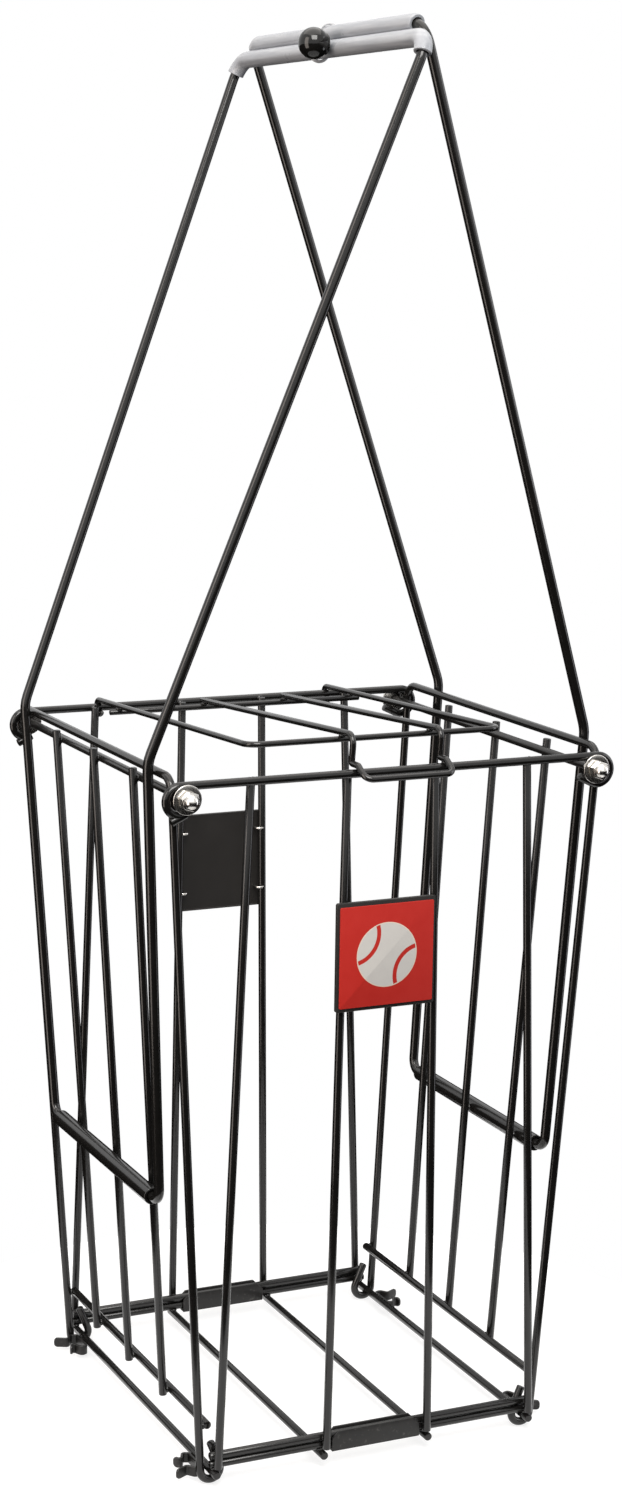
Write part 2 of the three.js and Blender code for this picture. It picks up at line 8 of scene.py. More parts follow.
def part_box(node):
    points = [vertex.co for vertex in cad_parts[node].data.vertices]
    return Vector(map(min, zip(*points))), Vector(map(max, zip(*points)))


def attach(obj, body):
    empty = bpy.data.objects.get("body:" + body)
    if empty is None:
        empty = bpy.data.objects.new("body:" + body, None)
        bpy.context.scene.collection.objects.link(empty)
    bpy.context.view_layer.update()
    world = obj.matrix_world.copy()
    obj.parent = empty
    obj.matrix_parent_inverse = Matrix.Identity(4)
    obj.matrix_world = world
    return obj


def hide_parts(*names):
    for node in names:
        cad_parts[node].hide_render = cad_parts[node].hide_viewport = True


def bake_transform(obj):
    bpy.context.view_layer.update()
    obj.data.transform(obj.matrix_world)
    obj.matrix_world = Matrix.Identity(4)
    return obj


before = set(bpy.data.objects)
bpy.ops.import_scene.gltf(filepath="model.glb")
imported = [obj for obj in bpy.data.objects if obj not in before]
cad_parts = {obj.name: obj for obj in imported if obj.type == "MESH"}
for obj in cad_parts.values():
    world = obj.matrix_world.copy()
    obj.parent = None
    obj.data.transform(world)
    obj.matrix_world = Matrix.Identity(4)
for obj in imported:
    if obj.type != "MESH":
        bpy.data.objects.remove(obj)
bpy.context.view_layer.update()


# Base rods: four straight lengths of 4.76 mm steel wire, coated glossy black, welded under the
# front and back cross wires. A tennis ball squeezes through the gap between two rods. Sizes are in
# millimetres in every section but the studio's, and the frame's own unit is the metre.

MM = 0.001
ENDS = (("front", -1), ("back", 1))
WIRE = 4.76
HOOK_RADIUS = 6
ROD_COUNT = 4
ROD_PITCH = 66.7
ROD_HALF_LENGTH = 118.51
ROD_X = ROD_PITCH * (ROD_COUNT - 1) / 2
ROD_Z = HOOK_RADIUS + WIRE / 2
CROSS_HALF_LENGTH = 102.68
CROSS_Y = 113.21

# The frame's solids stand this far apart where two pieces touch.
CLEARANCE = 0.3
BASE_WIRE_Z = ROD_Z + WIRE + CLEARANCE
BOTTOM_WIRE_Z = BASE_WIRE_Z + WIRE + CLEARANCE

# A bend has a ring of the wire's outline every few degrees, fewer where it is tight.
WIDE_BEND_STEP = 9
TIGHT_BEND_STEP = 22
TIGHT_BEND_RADIUS = 4


def at(x, y, z):
    """A place on the hopper, in millimetres from the ground under the middle of the basket."""
    return Vector((x, y, z)) * MM


def swing(place, centre, axis, angle):
    """A place turned about an axis through the centre of a bend, in degrees."""
    return centre + Matrix.Rotation(radians(angle), 3, Vector(axis)) @ (place - centre)


def corner(before, middle, after, radius):
    """The two steps that take a wire round a corner: where the bend starts, and the bend."""
    back = (before - middle).normalized()
    on = (after - middle).normalized()
    opening = back.angle(on)
    start = middle + back * (radius * MM) / tan(opening / 2)
    centre = middle + (back + on).normalized() * (radius * MM) / sin(opening / 2)
    return [start, (centre, on.cross(back).normalized(), 180 - degrees(opening))]


def settle():
    """Works the place, turn and size of what is selected into its mesh."""
    bpy.ops.object.transform_apply(location=True, rotation=True, scale=True)


def name_piece(piece, name):
    piece.name = name
    piece.data.name = name


def mark(piece, kind, wanted):
    """Opens a piece for editing with only the wanted edges or faces of it selected."""
    bpy.ops.object.mode_set(mode="EDIT")
    bpy.ops.mesh.select_mode(type=kind)
    bpy.ops.mesh.select_all(action="DESELECT")
    bpy.ops.object.mode_set(mode="OBJECT")
    for element in piece.data.edges if kind == "EDGE" else piece.data.polygons:
        element.select = wanted(element)
    bpy.ops.object.mode_set(mode="EDIT")


def is_cut_end(face):
    """Only the two cut ends of a round wire have more than four corners."""
    return len(face.vertices) > 4


def draw_wire(name, path, thickness, height=None, sides=20, end_bevel=0.5):
    """One length of wire or strip: its cut end is pulled to each place in the path, or straight on
    by a length, and spun round each bend (centre, axis, degrees). A height makes it a flat strip
    that stands upright."""
    start, first = path[:2]
    if isinstance(first, Vector):
        heading = (first - start).normalized()
    else:
        heading = Vector(first[1]).cross(start - first[0]).normalized()
    if height:
        upward = Vector((0, 0, 1))
        turned = Matrix((heading.cross(upward), upward, -heading)).transposed()
        bpy.ops.mesh.primitive_plane_add(size=1, location=start, rotation=turned.to_euler())
        bpy.ops.transform.resize(value=(thickness * MM, height * MM, 1), orient_type="LOCAL")
    else:
        turned = heading.to_track_quat("Z", "Y")
        bpy.ops.mesh.primitive_circle_add(vertices=sides, radius=thickness / 2 * MM, fill_type="NGON",
                                          location=start, rotation=turned.to_euler())
    wire = bpy.context.object
    name_piece(wire, name)
    settle()
    bpy.ops.object.mode_set(mode="EDIT")
    bpy.ops.mesh.select_all(action="SELECT")
    place = start
    for step in path[1:]:
        if isinstance(step, tuple):
            centre, axis, angle = step
            tight = (place - centre).length <= TIGHT_BEND_RADIUS * MM
            rings = max(2, ceil(abs(angle) / (TIGHT_BEND_STEP if tight else WIDE_BEND_STEP)))
            bpy.ops.mesh.spin(steps=rings, angle=-radians(angle), center=centre, axis=axis)
            place = swing(place, centre, axis, angle)
            heading = Matrix.Rotation(radians(angle), 3, Vector(axis)) @ heading
            continue
        if isinstance(step, Vector):
            pull = step - place
            heading = pull.normalized()
        else:
            pull = heading * step * MM
        bpy.ops.mesh.extrude_region_move(TRANSFORM_OT_translate={"value": pull})
        place = place + pull
    bpy.ops.mesh.select_all(action="SELECT")
    bpy.ops.mesh.normals_make_consistent(inside=False)
    if end_bevel:
        mark(wire, "FACE", is_cut_end)
        if wire.data.total_face_sel:
            bpy.ops.mesh.bevel(offset=end_bevel * MM, segments=2, affect="EDGES")
        bpy.ops.mesh.select_mode(type="VERT")
    bpy.ops.object.mode_set(mode="OBJECT")
    bpy.ops.object.shade_smooth_by_angle(angle=radians(40))
    return wire


class Shade:
    """A socket of a finish. Sums and products on it add Math nodes, and node() adds any other."""

    def __init__(self, tree, socket=None):
        self.tree = tree
        self.socket = socket

    def node(self, kind, settings, sockets, output=0):
        made = self.tree.nodes.new(kind)
        for name, value in settings.items():
            setattr(made, name, value)
        for name, value in sockets.items():
            if isinstance(value, Shade):
                self.tree.links.new(value.socket, made.inputs[name])
            else:
                made.inputs[name].default_value = value
        return Shade(self.tree, made.outputs[output] if len(made.outputs) else None)

    def maths(self, operation, first, second=0.0):
        return self.node("ShaderNodeMath", {"operation": operation}, {0: first, 1: second})

    def __add__(self, other):
        return self.maths("ADD", self, other)

    def __sub__(self, other):
        return self.maths("SUBTRACT", self, other)

    def __rsub__(self, other):
        return self.maths("SUBTRACT", other, self)

    def __mul__(self, other):
        return self.maths("MULTIPLY", self, other)

    def size(self):
        """The value without its sign."""
        return self.maths("ABSOLUTE", self)

    def along(self, axis):
        """One coordinate of a place, in metres: 0 for x, 1 for y and 2 for z."""
        return self.node("ShaderNodeSeparateXYZ", {}, {"Vector": self}, output=axis)

    def ramp(self, low, high):
        """0 up to the low value, 1 from the high one, smooth between."""
        settings = {"interpolation_type": "SMOOTHSTEP"}
        sockets = {"Value": self, "From Min": low, "From Max": high}
        return self.node("ShaderNodeMapRange", settings, sockets)

    def tint(self, under, over):
        """The first colour where this is 0, the second where it is 1."""
        settings = {"data_type": "RGBA"}
        return self.node("ShaderNodeMix", settings, {"Factor": self, 6: under, 7: over}, output=2)


def new_finish(name, metallic=0.0, coat=0.0, coat_roughness=0.1, ior=1.5):
    """A material with its steady values set, its surface, and its nodes' object coordinates."""
    material = bpy.data.materials.new(name)
    material.use_nodes = True
    surface = material.node_tree.nodes["Principled BSDF"]
    surface.inputs["Metallic"].default_value = metallic
    surface.inputs["Coat Weight"].default_value = coat
    surface.inputs["Coat Roughness"].default_value = coat_roughness
    surface.inputs["IOR"].default_value = ior
    place = Shade(material.node_tree).node("ShaderNodeTexCoord", {}, {}, output="Object")
    return material, surface, place


def lay_on(material, surface, colour, roughness, relief, depth, strength=1.0):
    """Joins the varying colour, roughness and relief to the surface."""
    tree = material.node_tree
    tree.links.new(colour.socket, surface.inputs["Base Color"])
    tree.links.new(roughness.socket, surface.inputs["Roughness"])
    sockets = {"Strength": strength, "Distance": depth * MM, "Height": relief}
    bump = relief.node("ShaderNodeBump", {}, sockets)
    tree.links.new(bump.socket, surface.inputs["Normal"])


def noise(place, scale, detail=2.0, roughness=0.5):
    sockets = {"Vector": place, "Scale": scale, "Detail": detail, "Roughness": roughness}
    return place.node("ShaderNodeTexNoise", {"noise_dimensions": "3D"}, sockets)


# The black coating: softly clouded, a little pitted and dusty, and rubbed where it meets the ground.
WORN_BELOW = 1
UNWORN_ABOVE = 16

black_coat, surface, place = new_finish("black_coated_wire", coat=0.15, coat_roughness=0.08, ior=1.44)
cloud = noise(place, scale=55, detail=3)
peel = noise(place, scale=1500)
speck = noise(place, scale=420, detail=4, roughness=0.7).ramp(0.62, 0.74)
patches = noise(place, scale=240, detail=5, roughness=0.72).ramp(0.5, 0.66)
ground_wear = (1 - place.along(2).ramp(WORN_BELOW * MM, UNWORN_ABOVE * MM)) * patches
shade_of_coat = cloud.tint((0.0045, 0.0043, 0.0042, 1), (0.0100, 0.0094, 0.0088, 1))
dusty = (speck * 0.15).tint(shade_of_coat, (0.060, 0.056, 0.050, 1))
worn = (ground_wear * 0.08).tint(dusty, (0.16, 0.155, 0.15, 1))
gloss = cloud * 0.10 + 0.13 + speck * 0.10 + ground_wear * 0.05
lay_on(black_coat, surface, worn, gloss, peel + speck * 0.4, depth=0.03, strength=0.55)


def fit(piece, body, slot, finish, *nodes):
    """Gives a finished piece its material, its body and the solids that it stands for."""
    piece.data.materials.clear()
    piece.data.materials.append(finish)
    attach(piece, body)
    if nodes:
        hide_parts(*nodes)


def weld_in(piece, *nodes):
    """Fits a piece of the basket's own black coated wire."""
    fit(piece, "basket", "coated_wire", black_coat, *nodes)


rod_lines = []
for number in range(ROD_COUNT):
    x = number * ROD_PITCH - ROD_X
    rod_line = [at(x, -ROD_HALF_LENGTH, ROD_Z), at(x, ROD_HALF_LENGTH, ROD_Z)]
    rod_lines.append(rod_line)
    weld_in(draw_wire(f"base_rod_{number + 1}_wire", rod_line, WIRE), f"base_rod_{number + 1}")

cross_wires = {}
for end_name, end in ENDS:
    for name, z in ((f"base_{end_name}_wire", BASE_WIRE_Z), (f"{end_name}_bottom_wire", BOTTOM_WIRE_Z)):
        y = end * CROSS_Y
        cross_wires[name] = [at(-CROSS_HALF_LENGTH, y, z), at(CROSS_HALF_LENGTH, y, z)]
        weld_in(draw_wire(f"{name}_bar", cross_wires[name], WIRE), name)


# Welds: where two wires cross they are pressed together hot, and a small bead of steel swells out
# between them. The coating runs over it, so it looks like a soft fillet. No two are quite alike.

BEAD_WIDTH = 4.1
BEAD_HEIGHT = 2.6
BEAD_LUMPS = 0.07

# From one bead to the next: its turn and the beat of its width, in radians, and how much it grows.
BEAD_TURN = 1.9
BEAD_BEAT = 2.3
BEAD_WIDER = 0.06
BEAD_TALLER = 0.05


def weld_bead():
    bpy.ops.mesh.primitive_uv_sphere_add(segments=14, ring_count=8, radius=MM)
    bead = bpy.context.object
    bpy.ops.object.mode_set(mode="EDIT")
    bpy.ops.mesh.select_all(action="SELECT")
    bpy.ops.transform.resize(value=(BEAD_WIDTH / 2, BEAD_WIDTH / 2, BEAD_HEIGHT / 2))
    bpy.ops.transform.vertex_random(offset=BEAD_LUMPS * MM, seed=3)
    bpy.ops.object.mode_set(mode="OBJECT")
    bpy.ops.object.shade_smooth()
    return bead


def only(*pieces):
    bpy.ops.object.select_all(action="DESELECT")
    for piece in pieces:
        piece.select_set(True)
    bpy.context.view_layer.objects.active = pieces[0]


def copy_of(piece):
    """A second piece with a mesh of its own."""
    copy = piece.copy()
    copy.data = piece.data.copy()
    bpy.context.collection.objects.link(copy)
    return copy


def weld_all(name, crossings):
    """A bead at each crossing of two wires, given as two pairs of ends, all in one piece."""
    bead = weld_bead()
    beads = []
    for index, (first, second) in enumerate(crossings):
        near, far = intersect_line_line(*first, *second)
        across = (far - near).to_track_quat("Z", "Y").to_matrix().to_4x4()
        turned = Matrix.Rotation(index * BEAD_TURN, 4, "Z")
        wider = 1 + BEAD_WIDER * sin(index * BEAD_BEAT)
        taller = 1 + BEAD_TALLER * cos(index)
        copy = copy_of(bead)
        copy.matrix_world = (Matrix.Translation((near + far) / 2) @ across @ turned
                             @ Matrix.Diagonal((wider, 1, taller, 1)))
        beads.append(copy)
    bpy.data.objects.remove(bead)
    only(*beads)
    bpy.ops.object.join()
    settle()
    name_piece(bpy.context.object, name)
    return bpy.context.object


crossings = []
for rod_line in rod_lines:
    for end_name, end in ENDS:
        crossings.append((rod_line, cross_wires[f"base_{end_name}_wire"]))
weld_in(weld_all("base_welds", crossings))


# Front and back panels: a rim bar curled into an eyelet at each end, and four upright wires that
# are welded inside the rim and outside the bottom wire. All of it is the same black coated wire.

RIM_Y = 125.0
RIM_Z = 407.3
EYELET_X = 127.7
EYELET_RADIUS = 8
EYELET_TURN = 205
EYELET_STUB = 9.5
PANEL_TOP_XS = (-84.6, -27, 27, 84.6)
PANEL_FOOT_XS = (-99.3, -32.1, 32.1, 99.3)
PANEL_TOP_Y = RIM_Y - WIRE - CLEARANCE
PANEL_FOOT_Y = CROSS_Y + WIRE + CLEARANCE
PANEL_TOP_REACH = 1
PANEL_FOOT_REACH = 6

for end_name, end in ENDS:
    rim_line = [at(-EYELET_X, end * RIM_Y, RIM_Z), at(EYELET_X, end * RIM_Y, RIM_Z)]
    left, right = [rim_end - at(0, 0, EYELET_RADIUS) for rim_end in rim_line]
    curl_end = swing(rim_line[0], left, (0, -1, 0), EYELET_TURN)
    stub = (left - curl_end).cross(Vector((0, 1, 0))).normalized() * EYELET_STUB * MM
    path = [curl_end + stub, curl_end, (left, (0, 1, 0), EYELET_TURN)]
    path += [rim_line[1], (right, (0, 1, 0), EYELET_TURN), EYELET_STUB]
    weld_in(draw_wire(f"{end_name}_rim_bar", path, WIRE), f"{end_name}_rim")
    crossings = []
    for number, (top_x, foot_x) in enumerate(zip(PANEL_TOP_XS, PANEL_FOOT_XS), 1):
        top = at(top_x, end * PANEL_TOP_Y, RIM_Z)
        foot = at(foot_x, end * PANEL_FOOT_Y, BOTTOM_WIRE_Z)
        run = (top - foot).normalized() * MM
        wire_line = [foot - run * PANEL_FOOT_REACH, top + run * PANEL_TOP_REACH]
        weld_in(draw_wire(f"{end_name}_upright_{number}", wire_line, WIRE), f"{end_name}_wire_{number}")
        crossings.append(((foot, top), rim_line))
        crossings.append(((foot, top), cross_wires[f"{end_name}_bottom_wire"]))
    weld_in(weld_all(f"{end_name}_panel_welds", crossings))


# Side frames: one wire each, that hooks over the outer base rod, rises as a corner post, runs back
# along the top and comes down to the second hook. Each hook ends in a short straight spike.

SIDES = (("left", -1), ("right", 1))
TOP_X = 130.5
TOP_Y = 119.8
TOP_Z = 410.9
FRAME_BEND = 9
HOOK_Y = 107.9
HOOK_EXTRA_TURN = 22
SPIKE = 15
POST_LEAN = degrees(atan((TOP_X - ROD_X - HOOK_RADIUS) / (TOP_Z - ROD_Z)))

posts = {}
for side_name, side in SIDES:
    arc = 180 + HOOK_EXTRA_TURN - POST_LEAN
    outward = at(side * cos(radians(POST_LEAN)), 0, -sin(radians(POST_LEAN))) * HOOK_RADIUS
    front_ring, back_ring = [at(side * ROD_X, end * HOOK_Y, ROD_Z) for end in (-1, 1)]
    front_foot = front_ring + outward
    back_foot = back_ring + outward
    front_inner = swing(front_foot, front_ring, (0, side, 0), arc)
    spike = (front_inner - front_ring).cross(Vector((0, side, 0))).normalized() * SPIKE * MM
    front_top = at(side * TOP_X, -TOP_Y, TOP_Z)
    back_top = at(side * TOP_X, TOP_Y, TOP_Z)
    path = [front_inner - spike, front_inner, (front_ring, (0, -side, 0), arc)]
    path += corner(front_foot, front_top, back_top, FRAME_BEND)
    path += corner(front_top, back_top, back_foot, FRAME_BEND)
    path += [back_foot, (back_ring, (0, side, 0), arc), SPIKE]
    weld_in(draw_wire(f"{side_name}_side_frame", path, WIRE), f"{side_name}_frame")
    posts[side_name] = [(front_foot, front_top), (back_foot, back_top)]


# Side wires: a rail whose threaded ends pass through the eyelets, three uprights welded outside
# it, a bottom bar, and a long sleeve welded to the uprights, in which the foot of the bail turns.

RAIL_X = 124.9
RAIL_Z = 400.4
RAIL_HALF_LENGTH = 135.63
RAIL_END_BEVEL = 0.8
THREAD_START = 121.2
THREAD_RUN_OUT = 0.4
BAR_X = 102.7
BAR_Z = 35.8
BAR_HALF_LENGTH = 110
SIDE_TOP_PITCH = 62.2
SIDE_FOOT_PITCH = 54.6
SIDE_TOP_REACH = 6
SIDE_FOOT_REACH = 3
PIVOT_X = 123.09
PIVOT_Z = 162.9
SLEEVE = 9.8
SLEEVE_BORE = 6.8
SLEEVE_HALF_LENGTH = 76
SLEEVE_WELD_INSIDE = 2.5

threaded_coat, surface, place = new_finish("black_threaded_wire", coat=0.15, coat_roughness=0.12, ior=1.48)
cloud = noise(place, scale=60, detail=3)
threaded = place.along(1).size().ramp(THREAD_START * MM, (THREAD_START + THREAD_RUN_OUT) * MM)
grooves = place.node("ShaderNodeTexWave", {"bands_direction": "Y"}, {"Vector": place, "Scale": 200.0})
flank = grooves * threaded
shade_of_coat = cloud.tint((0.006, 0.006, 0.006, 1), (0.014, 0.013, 0.012, 1))
tone = (flank * threaded * 0.5).tint(shade_of_coat, (0.10, 0.095, 0.09, 1))
lay_on(threaded_coat, surface, tone, cloud * 0.1 + 0.24, flank, depth=0.3)

sleeve_lines = {}
for side_name, side in SIDES:
    rail_line = [at(side * RAIL_X, end * RAIL_HALF_LENGTH, RAIL_Z) for end in (-1, 1)]
    bar_line = [at(side * BAR_X, end * BAR_HALF_LENGTH, BAR_Z) for end in (-1, 1)]
    sleeve_line = [at(side * PIVOT_X, end * SLEEVE_HALF_LENGTH, PIVOT_Z) for end in (-1, 1)]
    sleeve_lines[side_name] = sleeve_line
    rail = draw_wire(f"{side_name}_threaded_rail", rail_line, WIRE, end_bevel=RAIL_END_BEVEL)
    fit(rail, "basket", "coated_wire", threaded_coat, f"{side_name}_rail")
    weld_in(draw_wire(f"{side_name}_low_bar", bar_line, WIRE), f"{side_name}_bottom_bar")
    pivot_line = [sleeve_end - at(side * SLEEVE_WELD_INSIDE, 0, 0) for sleeve_end in sleeve_line]
    crossings = [(post, line) for post in posts[side_name] for line in (rail_line, bar_line)]
    for number, step in enumerate((-1, 0, 1), 1):
        top = at(side * (RAIL_X + WIRE + CLEARANCE), step * SIDE_TOP_PITCH, RAIL_Z)
        foot = at(side * (BAR_X + WIRE + CLEARANCE), step * SIDE_FOOT_PITCH, BAR_Z)
        run = (top - foot).normalized() * MM
        wire_line = [foot - run * SIDE_FOOT_REACH, top + run * SIDE_TOP_REACH]
        weld_in(draw_wire(f"{side_name}_upright_{number}", wire_line, WIRE), f"{side_name}_wire_{number}")
        crossings += [((foot, top), line) for line in (rail_line, bar_line, pivot_line)]
    weld_in(weld_all(f"{side_name}_side_welds", crossings))


def ease(piece, width, segments, sharper_than):
    """Rounds the edges of a piece that turn by more than an angle."""
    rounding = piece.modifiers.new("rounding", "BEVEL")
    rounding.width = width * MM
    rounding.segments = segments
    rounding.limit_method = "ANGLE"
    rounding.angle_limit = radians(sharper_than)
    bpy.ops.object.modifier_apply(modifier="rounding")


def draw_tube(name, path, outside, bore, sides=28):
    """A tube: an open wire shape whose wall is given its thickness inwards, with eased rims."""
    tube = draw_wire(name, path, outside, sides=sides, end_bevel=0)
    mark(tube, "FACE", is_cut_end)
    bpy.ops.mesh.delete(type="FACE")
    bpy.ops.mesh.select_mode(type="VERT")
    bpy.ops.object.mode_set(mode="OBJECT")
    wall = tube.modifiers.new("wall", "SOLIDIFY")
    wall.thickness = (outside - bore) / 2 * MM
    wall.offset = -1
    bpy.ops.object.modifier_apply(modifier="wall")
    ease(tube, (outside - bore) / 10, segments=2, sharper_than=60)
    bpy.ops.object.shade_smooth_by_angle(angle=radians(50))
    return tube


for side_name, sleeve_line in sleeve_lines.items():
    weld_in(draw_tube(f"{side_name}_bail_sleeve", sleeve_line, SLEEVE, SLEEVE_BORE), f"{side_name}_sleeve")


# Washers and domed nuts: nickel-plated steel, one of each on every threaded rail end. They draw
# the panels' eyelets against the side frames. Each pair of nuts has stopped at its own turn.

WASHER_RADIUS = 8.2
WASHER_HOLE_RADIUS = 2.63
WASHER_THICKNESS = 1.5
WASHER_Y = RIM_Y + WIRE / 2 + CLEARANCE
NUT_Y = WASHER_Y + WASHER_THICKNESS + CLEARANCE
NUT_CORNER_RADIUS = 5.48
NUT_HEIGHT = 5
SHOULDER_RADIUS = 4.5
SHOULDER_HEIGHT = 0.7
SHOULDER_CENTRE = 5.05
DOME_RADIUS = 4.1
DOME_CUT = 4.7
NUT_TURN = 17
NUT_TURN_TO_SIDE = 31
LYING = (radians(90), 0, 0)

nickel, surface, place = new_finish("nickel_plate", metallic=1.0)
brushed = noise(place, scale=900, detail=3)
smear = noise(place, scale=130, detail=3)
tone = smear.tint((0.78, 0.76, 0.72, 1), (0.60, 0.58, 0.55, 1))
lay_on(nickel, surface, tone, smear * 0.16 + 0.12 + brushed * 0.05, brushed, depth=0.02, strength=0.4)


def model_washer():
    bpy.ops.mesh.primitive_circle_add(vertices=48, radius=WASHER_RADIUS * MM, fill_type="NGON",
                                      rotation=LYING)
    washer = bpy.context.object
    settle()
    bpy.ops.object.mode_set(mode="EDIT")
    bpy.ops.mesh.select_all(action="SELECT")
    bpy.ops.mesh.inset(thickness=(WASHER_RADIUS - WASHER_HOLE_RADIUS) * MM)
    bpy.ops.mesh.delete(type="FACE")
    bpy.ops.mesh.select_all(action="SELECT")
    outwards = at(0, -WASHER_THICKNESS, 0)
    bpy.ops.mesh.extrude_region_move(TRANSFORM_OT_translate={"value": outwards})
    bpy.ops.mesh.select_all(action="SELECT")
    bpy.ops.mesh.normals_make_consistent(inside=False)
    bpy.ops.object.mode_set(mode="OBJECT")
    ease(washer, 0.3, segments=3, sharper_than=30)
    bpy.ops.object.shade_smooth_by_angle(angle=radians(50))
    return washer


def turn_bar(sides, radius, length, place, turn, eased=0.0, segments=1):
    """A straight bar of round or many-sided section, with all its edges eased if wanted."""
    bpy.ops.mesh.primitive_cylinder_add(vertices=sides, radius=radius * MM, depth=length * MM,
                                        location=place, rotation=turn)
    settle()
    if eased:
        bpy.ops.object.mode_set(mode="EDIT")
        bpy.ops.mesh.select_all(action="SELECT")
        bpy.ops.mesh.bevel(offset=eased * MM, segments=segments, affect="EDGES")
        bpy.ops.object.mode_set(mode="OBJECT")
    return bpy.context.object


def turn_ball(segments, radius, place, turn=(0, 0, 0)):
    bpy.ops.mesh.primitive_uv_sphere_add(segments=segments, ring_count=segments // 2, radius=radius * MM,
                                         location=place, rotation=turn)
    settle()
    return bpy.context.object


def model_nut():
    """A hexagon with eased corners, and a dome that rises from a turned shoulder."""
    hexagon_place = at(0, -NUT_HEIGHT / 2, 0)
    nut = turn_bar(6, NUT_CORNER_RADIUS, NUT_HEIGHT, hexagon_place, LYING, eased=0.35, segments=3)
    dome = turn_ball(32, DOME_RADIUS, at(0, -NUT_HEIGHT, 0), LYING)
    bpy.ops.object.mode_set(mode="EDIT")
    bpy.ops.mesh.select_all(action="SELECT")
    bpy.ops.mesh.bisect(plane_co=at(0, -DOME_CUT, 0), plane_no=(0, 1, 0), clear_outer=True, use_fill=True)
    bpy.ops.object.mode_set(mode="OBJECT")
    shoulder_place = at(0, -SHOULDER_CENTRE, 0)
    shoulder = turn_bar(40, SHOULDER_RADIUS, SHOULDER_HEIGHT, shoulder_place, LYING, eased=0.15, segments=2)
    only(nut, dome, shoulder)
    bpy.ops.object.join()
    bpy.ops.object.shade_smooth_by_angle(angle=radians(35))
    return nut


washer = model_washer()
nut = model_nut()
for end_name, end in ENDS:
    for side_name, side in SIDES:
        for kind, pattern, y in (("washer", washer, WASHER_Y), ("nut", nut, NUT_Y)):
            copy = copy_of(pattern)
            name_piece(copy, f"{end_name}_{side_name}_plated_{kind}")
            copy.location = at(side * RAIL_X, end * y, RAIL_Z)
            facing = 0 if end < 0 else pi
            copy.rotation_euler = (0, radians(NUT_TURN + NUT_TURN_TO_SIDE * side), facing)
            only(copy)
            settle()
            fit(copy, "basket", "nickel_plate", nickel, f"{end_name}_{side_name}_{kind}")
bpy.data.objects.remove(washer)
bpy.data.objects.remove(nut)


# Leg clips: black spring strips bent round on the outer base rods. When the bails swing down as
# legs, each arm snaps in between a clip's two prongs. The strip's ends are cut round.

BAIL = 5.8
ARM_FOOT_Y = 86.4
LEG_X = 110.79
STRIP = 1.5
STRIP_HEIGHT = 6
STRIP_BEND = 1.6
STRIP_END_ROUNDING = 2.2
CLIP_Z = 5.98
CLIP_BACK_X = ROD_X + (WIRE + STRIP) / 2 + CLEARANCE
CLIP_BELLY_X = (CLIP_BACK_X + LEG_X) / 2
THROAT = (BAIL + STRIP) / 2 + CLEARANCE

# The strip's corners from above: how far from the hopper's middle, and how far past the bail's arm.
CLIP_CORNERS = (
    (LEG_X + 2.5, -THROAT - 5.5), (LEG_X, -THROAT), (CLIP_BELLY_X, -12), (CLIP_BACK_X, -10.5),
    (CLIP_BACK_X, 7.1), (CLIP_BELLY_X, 8.6), (LEG_X, THROAT), (LEG_X + 7.7, THROAT + 4),
)

# How far each of a bail's two arms spreads outwards, and how far both lean back, as they rise by 1.
ARM_LEANS = {"left": (0.0576, 0.0012), "right": (0.0201, -0.0106)}

spring_black, surface, place = new_finish("black_spring_strip", metallic=0.35, coat=0.1, coat_roughness=0.2)
cloud = noise(place, scale=160, detail=3)
grain = noise(place, scale=1100, detail=3)
rub = noise(place, scale=300, detail=5, roughness=0.7).ramp(0.56, 0.7)
shade_of_strip = cloud.tint((0.008, 0.008, 0.008, 1), (0.018, 0.017, 0.016, 1))
tone = (rub * 0.4).tint(shade_of_strip, (0.12, 0.115, 0.11, 1))
lay_on(spring_black, surface, tone, cloud * 0.15 + 0.3, grain, depth=0.04, strength=0.6)


def arm_y(side_name, end, distance):
    """How far front or back a bail's arm stands at a distance from its foot."""
    spread, lean = ARM_LEANS[side_name]
    return end * ARM_FOOT_Y + distance * (end * spread + lean)


def bent(corners, radii):
    """The path of a wire that is bent at each corner between its two ends, with a radius for each."""
    path = [corners[0]]
    for before, middle, after, radius in zip(corners, corners[1:], corners[2:], radii):
        path += corner(before, middle, after, radius)
    return path + [corners[-1]]


def edge_line(piece, edge):
    """The places of an edge's two ends."""
    return [piece.data.vertices[index].co for index in edge.vertices]


def draw_clip(name, corners):
    """A strip that is bent at each of its corners, and whose two ends are cut round."""
    clip = draw_wire(name, bent(corners, [STRIP_BEND] * (len(corners) - 2)), STRIP, height=STRIP_HEIGHT)

    def crosses_an_end(edge):
        first, second = edge_line(clip, edge)
        level = abs(first.z - second.z) < 0.1 * MM
        short = (first - second).length < STRIP * 1.01 * MM
        from_end = min((first - corners[0]).length, (first - corners[-1]).length)
        return level and short and from_end < (STRIP_HEIGHT / 2 + 0.2) * MM

    mark(clip, "EDGE", crosses_an_end)
    bpy.ops.mesh.bevel(offset=STRIP_END_ROUNDING * MM, segments=4, affect="EDGES")
    bpy.ops.object.mode_set(mode="OBJECT")
    ease(clip, 0.3, segments=2, sharper_than=50)
    bpy.ops.object.shade_smooth_by_angle(angle=radians(45))
    return clip


for side_name, side in SIDES:
    for end_name, end in ENDS:
        leg_y = arm_y(side_name, end, PIVOT_Z - CLIP_Z)
        corners = [at(side * x, leg_y + end * past, CLIP_Z) for x, past in CLIP_CORNERS]
        clip = draw_clip(f"{end_name}_{side_name}_spring_clip", corners)
        fit(clip, "basket", "spring_clip", spring_black, f"{end_name}_{side_name}_leg_clip")


# Channel clips: black steel sheet folded to a U that clasps the panel's bottom wire to the base
# wire. The upper corners of both flanges are cut off at 45 degrees.

